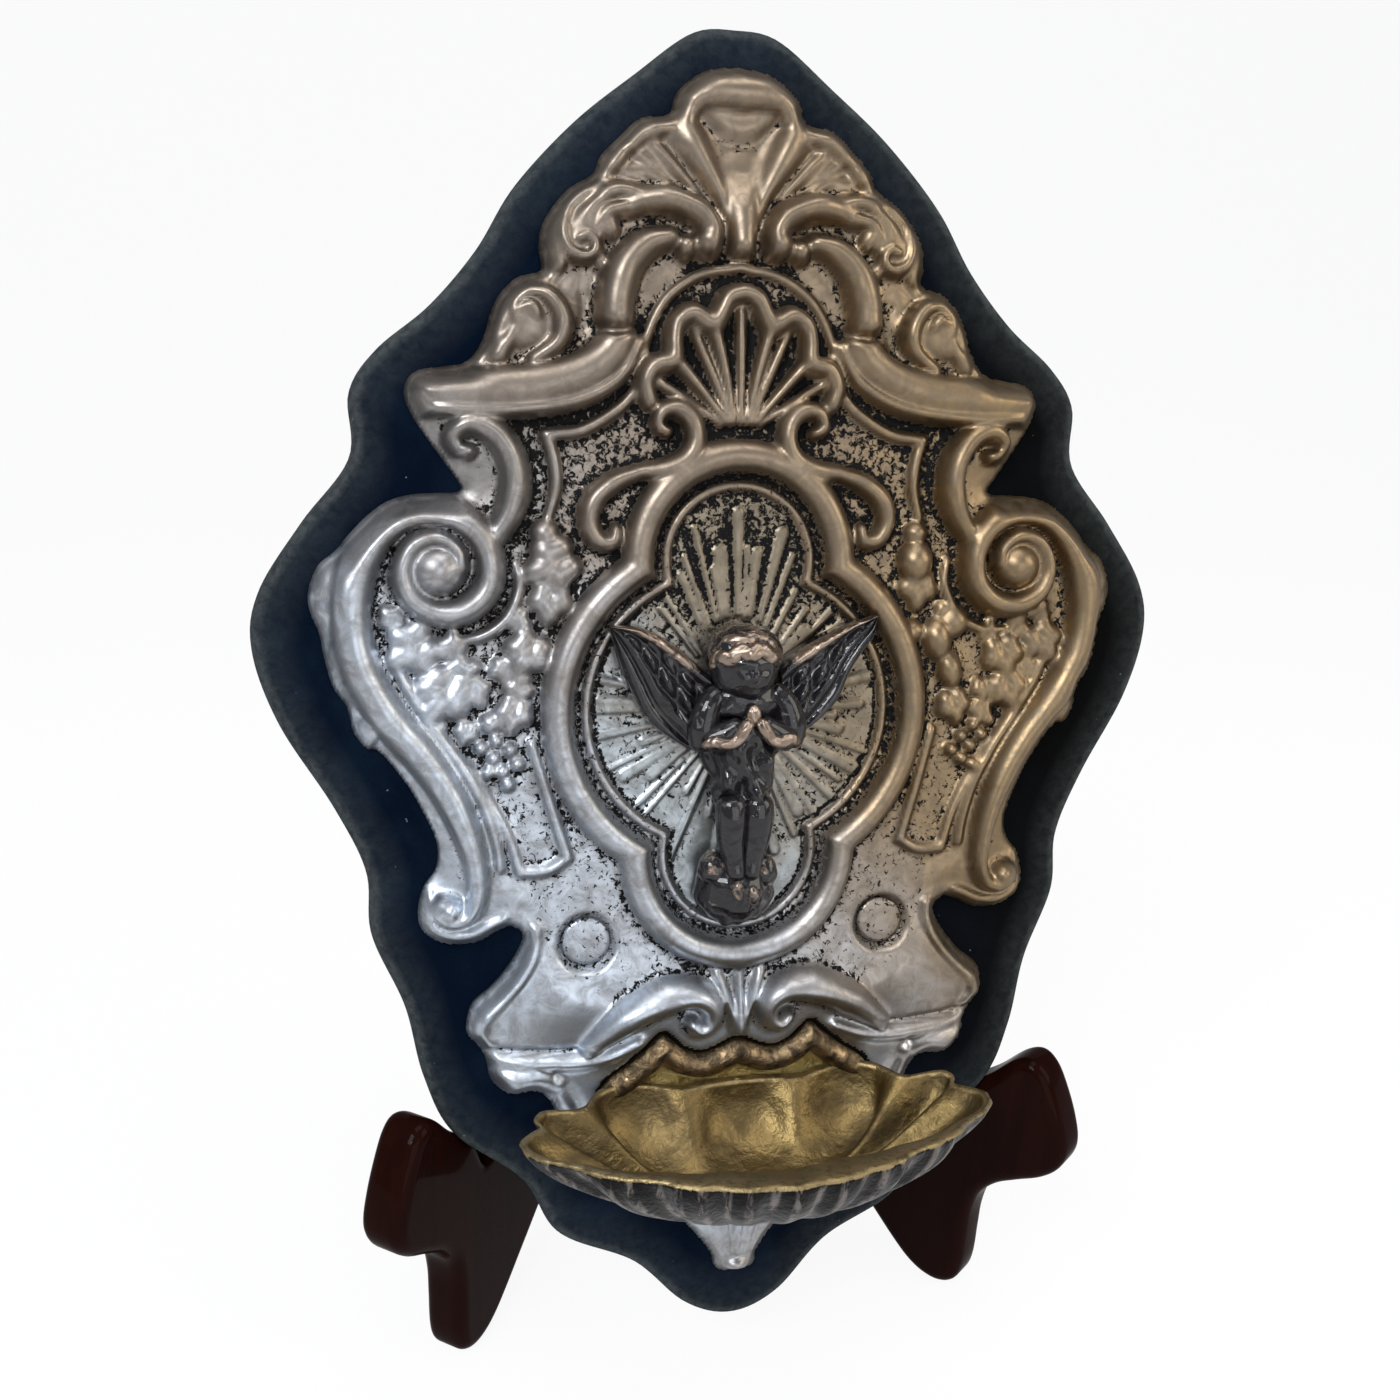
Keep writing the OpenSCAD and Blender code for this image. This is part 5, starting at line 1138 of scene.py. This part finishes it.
stoup_piece("angel", angel_points, angel_faces, angel_finish, "angel_figure", marks)

# Bowl
# A raised shell bowl, gilt inside, riveted by its straight back to a gilt plate. Ribs
# part its wall into lobes, each with its own arch of the rim. Its outside is chased
# with fine upright flutes and blackened, and its lip is rubbed bright.
BOWL_PLAN = [
    (0, 0), (9, 0), (16, 0), (24, 0.5), (31, 3), (37.2, 8), (43.4, 10.4), (47.4, 14.6), (49.6, 20.4),
    (48.8, 26.4), (42.6, 33.6), (28, 41.4), (14, 46.6), (0, 48.2),
]
# The rim's height, the depth, how far out the lowest point lies, the wall, the lip and the back's place
BOWL_RIM_Y = -83.2
BOWL_DEEP = 17.0
BOWL_LOW = 24.0
BOWL_WALL = 1.3
BOWL_LIP = 6.2
BOWL_Z = 2.2
BOWL_HALF = 49
BOWL_FLUTES = 52
# Turns of the ribs from straight ahead, seen from above the lowest point
BOWL_RIBS = [-12, 12, 34, 55, 77, 100, 111, 146.3, 213.7]
# How high the rim stands over its lowest level, by the same turns
BOWL_RISE_AT = [0, 40, 70, 90, 100, 105.5, 111, 128, 146.3, 150, 180]
BOWL_RISE = [0, 0.6, 1.2, 1.5, 0.9, 2.1, 0.9, 1.8, 0.2, 0.1, 0.1]
# How steeply the wall draws in along and across the bowl, by the same turns
BOWL_STEEP_AT = [0, 60, 90, 115, 146, 180]
BOWL_STEEP_OUT = [1.6, 1.4, 1.15, 1.5, 2.6, 2.8]
BOWL_STEEP_ACROSS = [4, 2.2, 1.3, 2.4, 11, 11]
BOWL_ROUND = 0.56
GILT_WARM = (0.185, 0.130, 0.052, 1)
GILT_STAINED = (0.078, 0.056, 0.028, 1)
GILT_LIP = (0.25, 0.19, 0.095, 1)
BOWL_BLACK = (0.010, 0.009, 0.010, 1)
BOWL_SCRATCHED = (0.17, 0.15, 0.14, 1)
PLATE_STEP = 0.5
PLATE_FOOT = 1.2
PLATE_ROLL_HALF = 2.7
PLATE_ROLL_HIGH = 3.2
PLATE_ROLL_END = -84
BRONZE_BRIGHT = (0.27, 0.19, 0.105, 1)
BRONZE_DARK = (0.045, 0.034, 0.024, 1)
# The plate's flat gilt, lighter as painted light where it lies in shade
BRONZE_FLAT_PAINTED_LIT = (0.36, 0.27, 0.10, 1)
RIVET_BRIGHT = (0.45, 0.34, 0.13, 1)
RIVET_DARK = (0.14, 0.10, 0.045, 1)
GILT_METALLIC = 0.95
bowl_line = smooth_line(mirrored(BOWL_PLAN), 0.7, closed=True)
flute_turn = math.pi * BOWL_FLUTES * np.linspace(0, 1, len(bowl_line), endpoint=False)


def bowl_side(wall, flute, lip=0.0, rows=40):
    """One side of the bowl, from its rim to its lowest point. The plan is drawn in as a power of the depth
    left, steeply at the back and gently at the ends. Ribs draw it in further where two lobes meet, the lip
    draws in the front of the inner side at its top, and the flutes are fine waves round it."""
    a = np.linspace(0, math.pi / 2, rows)[:, None]
    x, z = bowl_line.T
    turn = np.degrees(np.arctan2(np.abs(x), z - BOWL_LOW))
    ridge = np.abs(np.cos(math.pi * np.interp(turn, BOWL_RIBS, np.arange(len(BOWL_RIBS))))) ** 4
    strong = np.interp(turn, [50, 100], [0.35, 1.0])
    deep = np.sin(a)
    rib = strong * ridge * (0.055 + 0.60 * deep * (1 - deep))
    drawn = 1 - rib - flute * np.sin(flute_turn) ** 2 * np.sin(a + 0.3)
    along, over = (
        (1 - deep ** np.interp(turn, BOWL_STEEP_AT, steep)) ** BOWL_ROUND * drawn
        for steep in (BOWL_STEEP_OUT, BOWL_STEEP_ACROSS)
    )
    inset = wall * np.interp(turn, [138, 148], [1, 1.9])
    inset = inset + lip * np.interp(turn, [30, 95], [1, 0]) * (1 - 0.3 * deep)
    rise = np.interp(turn, BOWL_RISE_AT, BOWL_RISE) * (1 - deep) ** 2
    high = BOWL_RIM_Y + rise - (BOWL_DEEP - wall) * deep
    out = BOWL_LOW + (z - BOWL_LOW) * along * (1 - inset / BOWL_LOW)
    wide = x * over * (1 - inset / BOWL_HALF)
    return np.stack(np.broadcast_arrays(wide, high, BOWL_Z + np.maximum(out, 0.02)), -1)


outer = bowl_side(0, 0.022)
inner_side = bowl_side(BOWL_WALL, 0.0, BOWL_LIP)
lip = outer[:1] * 0.85 + inner_side[:1] * 0.15 + (0, 0.5, 0)
shell_rings = np.concatenate([inner_side[::-1], lip, outer])
bowl_points = shell_rings.reshape(-1, 3)
bowl_faces = outward(bowl_points, grid_faces(len(shell_rings), len(bowl_line), wrap=True))
rows_in = len(inner_side)
gilded, rub, flute_mark = np.zeros((3,) + shell_rings.shape[:2])
gilded[:rows_in] = 1
rub[rows_in - 1 : rows_in + 2] = 1
flute_mark[rows_in + 1 :] = np.cos(flute_turn) ** 2

gilt, tree, shader = blank_finish("dull_gilt")
place = place_of(tree)
stain = ease(tree, mottle(tree, place, 75, 6, 0.62, 0.7), 0.35, 0.72)
gold = tint(tree, stain, GILT_WARM, GILT_STAINED)
scratch = ease(tree, mottle(tree, place_of(tree, (1, 1, 0.3)), 420, 6, 0.7, 0.6), 0.42, 0.58)
scraped = reckon(tree, "MULTIPLY", scratch, ease(tree, mark_of(tree, "flute"), 0.45, 1.0))
dull = tint(tree, scraped, BOWL_BLACK, BOWL_SCRATCHED)
coat = tint(tree, mark_of(tree, "gilded"), dull, gold)
bare_lip = ease(tree, plus(tree, mark_of(tree, "rubbed"), scratch, 0.5), 0.75, 1.2)
plug(tree, shader, {
    "Base Color": tint(tree, bare_lip, coat, GILT_LIP),
    "Roughness": ease(tree, stain, 0, 1, 0.40, 0.56),
    "Normal": ripple(tree, mottle(tree, place, 170, 5, 0.62), 0.0011, 0.7),
    "Metallic": GILT_METALLIC,
})
marks = {"gilded": gilded.ravel(), "rubbed": rub.ravel(), "flute": flute_mark.ravel()}
stoup_piece("bowl", bowl_points, bowl_faces, gilt, "bowl_shell", marks)

plate_xs, plate_ys = square_grid(33, -106, -70, PLATE_STEP)
plate_gap = edge_distance(plate_xs, plate_ys, smooth_line(PLATE_HALF, 0.6))
roll = half_round((plate_gap + PLATE_ROLL_HALF) / PLATE_ROLL_HALF) * (plate_ys > PLATE_ROLL_END)[:, None]
plate_relief = BOWL_Z - 0.1 + PLATE_ROLL_HIGH * roll
points, faces, place_in = sheet_over(plate_xs, plate_ys, plate_relief, plate_gap, PLATE_FOOT)
bronze, tree, shader = blank_finish("worn_bronze")
toned = ease(tree, mottle(tree, place_of(tree), 320, 6, 0.68, 0.8), 0.36, 0.66)
brown = tint(tree, toned, BRONZE_BRIGHT, BRONZE_DARK)
# Gilt on the flat, lighter as painted light, and mottled brown on the roll
plug(tree, shader, {
    "Base Color": tint(tree, ease(tree, mark_of(tree, "rolled"), 0.05, 0.5), BRONZE_FLAT_PAINTED_LIT, brown),
    "Roughness": ease(tree, toned, 0, 1, 0.30, 0.50),
    "Normal": ripple(tree, toned, 0.0003, 0.5),
    "Metallic": GILT_METALLIC,
})
marks = {"rolled": roll.ravel()[place_in]}
stoup_piece("bowl_plate", points, faces, bronze, "bowl_back_plate", marks)
rivet_gilt, tree, shader = blank_finish("gilt_rivets")
rivet_tone = tint(tree, mottle(tree, place_of(tree), 400, 4), RIVET_BRIGHT, RIVET_DARK)
plug(tree, shader, {"Base Color": rivet_tone, "Metallic": GILT_METALLIC, "Roughness": 0.35})
dress(rivet_gilt, "bowl_rivets")

# Folding stand
# Two hardwood legs sawn to the same outline with rounded edges, stained dark red
# and lacquered to a gloss. They stand splayed on a hinge at the back.
HINGE_Y = 63.34
SPLAY = math.radians(36)
# A leg's near and far faces, measured across it from the hinge's axis, and how it is rounded
LEG_NEAR = 0.3
LEG_FAR = 10.8
LEG_ROUND = 2.9
LEG_STEP = 0.9
LEG_FLAT_RIM = 0.5
# The leg's outline: distance from the hinge's axis, height
LEG_LINE = [
    (3, 12), (3.1, 6.4), (4.6, 2.4), (8, 0.3), (11.8, 0.7), (15, 3.4), (26, 14.9), (39, 21.6),
    (54.9, 24), (64, 20.6), (74, 12.8), (83, 5.4), (88.6, 1.6), (93.6, 0.1), (98.4, 0.7), (101.8, 3.6),
    (103, 8.8), (103.1, 17), (103.3, 25), (104.8, 31.8), (108.6, 37.4), (114, 41.8), (119.4, 45.8),
    (123, 50.2), (124.2, 55.2), (122.6, 61.4), (119.6, 68), (116.4, 73), (112.6, 75), (108.6, 72.8),
    (102.8, 65.8), (95.4, 58.2), (91.6, 50.4), (89.4, 52), (87.9, 57), (84, 72), (73.8, 110.8),
    (62.8, 152.6), (59.4, 165.4), (57.6, 171.8), (55.4, 176.4), (51.8, 179.4), (47.8, 179.6),
    (44.2, 176.8), (41.8, 172), (39.8, 165), (37, 154), (29, 122.4), (13.4, 107.2), (7, 104.2),
    (4, 102.4), (3, 98), (3, 70), (3, 40),
]
LACQUER_DARK = (0.004, 0.0012, 0.0009, 1)
LACQUER_RED = (0.014, 0.0032, 0.0020, 1)


def triangles(faces):
    """Four-sided faces, each cut in two."""
    return np.concatenate([faces[:, [0, 1, 2]], faces[:, [0, 2, 3]]])


leg_line = smooth_line(LEG_LINE, LEG_STEP, closed=True)[::-1]
leg_half = (LEG_FAR - LEG_NEAR) / 2
leg_rings = [level(drawn_in(leg_line, LEG_ROUND + LEG_FLAT_RIM), leg_half)]
leg_rings += quarter_round(leg_line, LEG_ROUND, leg_half)
leg_rings += [ring * (1, 1, -1) for ring in leg_rings[::-1]]
leg_shape = np.concatenate(leg_rings)
cap = np.array(tessellate_polygon([[Vector(point) for point in leg_rings[0]]]))
cap = cap if np.cross(*np.diff(leg_rings[0][cap[0], :2], axis=0)) > 0 else cap[:, ::-1]
band = triangles(grid_faces(len(leg_rings), len(leg_line), wrap=True))
leg_faces = np.concatenate([cap, band, cap[:, ::-1] + len(leg_shape) - len(leg_line)])


def splayed(points, side):
    """A leg's points, given as distance from the hinge's axis, height and place in its thickness, turned out
    by the splay and mirrored for the left leg, in metres."""
    away, up, deep = points.T
    deep = deep + (LEG_NEAR + LEG_FAR) / 2
    x = side * (away * math.sin(SPLAY) + deep * math.cos(SPLAY))
    y = HINGE_Y - away * math.cos(SPLAY) + deep * math.sin(SPLAY)
    return np.stack([x, y, np.maximum(up, 0)], -1) / 1000


lacquer, tree, shader = blank_finish("dark_lacquer")
grain = mottle(tree, place_of(tree, (1, 1, 0.12)), 260, 5, 0.6, 0.3)
mist = mottle(tree, place_of(tree), 60, 4, 0.6)
plug(tree, shader, {
    "Base Color": tint(tree, grain, LACQUER_DARK, LACQUER_RED),
    "Roughness": ease(tree, mist, 0.3, 0.7, 0.16, 0.30),
    "Specular IOR Level": 0.004,
    "Coat Weight": 0.05,
    "Coat Roughness": 0.05,
})
for side, name in ((-1, "left"), (1, "right")):
    faces = leg_faces if side < 0 else leg_faces[:, ::-1]
    leg = splayed(leg_shape, side)
    new_piece("leg_" + name, leg, faces, lacquer, "stand_" + name, "stand_leg_" + name)

# Studio
# A pale floor that rises behind into a white backdrop, soft lamps at the left, right,
# front and top, a small one for glints, and a camera where the photograph was taken.
FLOOR_HALF = 4.0
FLOOR_SWEEP = [(-2.5, 0.0), (0.4, 0.0), (1.2, 0.05), (1.9, 0.35), (2.4, 0.95), (2.65, 1.8), (2.7, 3.6)]
FLOOR_PALE = (0.86, 0.86, 0.86, 1)
FLOOR_GLOW = 0.92
AIR = (0.80, 0.84, 0.90, 1)
AIR_STRENGTH = 0.42
LAMP_AIM = (0, 0, 0.15)
# Lamps: name, place, width and height, watts, and colour
LAMPS = [
    ("key", (-0.62, -0.62, 0.95), (0.5, 0.5), 10.0, (0.94, 0.97, 1.0)),
    ("glint", (-0.5, -0.9, 0.9), (0.07, 0.07), 1.3, (1.0, 1.0, 1.0)),
    ("fill", (0.9, -0.5, 0.7), (0.6, 0.8), 5.0, (1.0, 0.93, 0.82)),
    ("front", (0.28, -1.25, 0.42), (1.0, 0.8), 4.5, (0.96, 0.98, 1.0)),
    ("top", (0.05, -0.1, 1.1), (0.7, 0.5), 4.0, (1.0, 0.98, 0.95)),
]
CAMERA_AT = (-0.066, -0.24339, 0.24611)
CAMERA_LENS = 32.14
CAMERA_YAW = math.radians(12.8)
CAMERA_PITCH = math.radians(8.2)


def stand_at(made, axes, at):
    """Links an object into the scene at a place, with its axes as the columns of a matrix."""
    bpy.context.scene.collection.objects.link(made)
    made.matrix_world = Matrix(np.vstack([np.column_stack([axes, at]), (0, 0, 0, 1)]).tolist())


floor_mesh = bpy.data.meshes.new("studio_floor")
sweep = np.maximum(smooth_line(FLOOR_SWEEP, 0.06), (-np.inf, 0)).repeat(2, 0)
floor_points = np.column_stack([np.tile([-FLOOR_HALF, FLOOR_HALF], len(sweep) // 2), sweep])
floor_mesh.from_pydata(floor_points, [], grid_faces(len(sweep) // 2, 2)[:, ::-1])
floor_mesh.shade_smooth()
studio = bpy.data.objects.new("studio_floor", floor_mesh)
stand_at(studio, np.eye(3), (0, 0, 0))
pale, tree, shader = blank_finish("pale_floor")
plug(tree, shader, {"Base Color": FLOOR_PALE, "Roughness": 0.8})
rays_of = wire(tree, "ShaderNodeLightPath", {}).outputs
seen = reckon(tree, "MAXIMUM", rays_of["Is Camera Ray"], rays_of["Is Glossy Ray"])
seen = reckon(tree, "MAXIMUM", seen, rays_of["Is Transmission Ray"])
glow = wire(tree, "ShaderNodeEmission", {"Color": (1, 1, 1, 1), "Strength": 1.0}).outputs[0]
sockets = {0: reckon(tree, "MULTIPLY", seen, FLOOR_GLOW), 1: shader.outputs[0], 2: glow}
white = wire(tree, "ShaderNodeMixShader", sockets).outputs[0]
plug(tree, tree.nodes["Material Output"], {"Surface": white})
floor_mesh.materials.append(pale)

world = bpy.context.scene.world or bpy.data.worlds.new("studio_air")
bpy.context.scene.world = world
world.use_nodes = True
plug(world.node_tree, world.node_tree.nodes["Background"], {"Color": AIR, "Strength": AIR_STRENGTH})

for name, at, size, watts, colour in LAMPS:
    light = bpy.data.lights.new(name, "AREA")
    light.shape = "RECTANGLE"
    light.size, light.size_y = size
    light.energy = watts
    light.color = colour
    away = np.array(at) - LAMP_AIM
    away /= np.linalg.norm(away)
    sideways = np.cross((0, 0, 1), away)
    sideways /= np.linalg.norm(sideways)
    axes = np.column_stack([sideways, np.cross(away, sideways), away])
    stand_at(bpy.data.objects.new(name, light), axes, at)

yaw_sin, yaw_cos = math.sin(CAMERA_YAW), math.cos(CAMERA_YAW)
pitch_sin, pitch_cos = math.sin(CAMERA_PITCH), math.cos(CAMERA_PITCH)
ahead = np.array([yaw_sin * pitch_cos, -pitch_sin, -yaw_cos * pitch_cos])
sideways = np.array([yaw_cos, 0, yaw_sin])
axes = np.column_stack([sideways, np.cross(sideways, ahead), -ahead])
lean_back = np.array([[1, 0, 0], [0, math.sin(LEAN), -math.cos(LEAN)], [0, math.cos(LEAN), math.sin(LEAN)]])
camera = bpy.data.objects.new("camera", bpy.data.cameras.new("camera"))
camera.data.lens = CAMERA_LENS
camera.data.sensor_width = 36
camera.data.clip_start = 0.01
stand_at(camera, lean_back @ axes, CAMERA_AT)
bpy.context.scene.camera = camera
bpy.context.scene.view_settings.view_transform = "Standard"
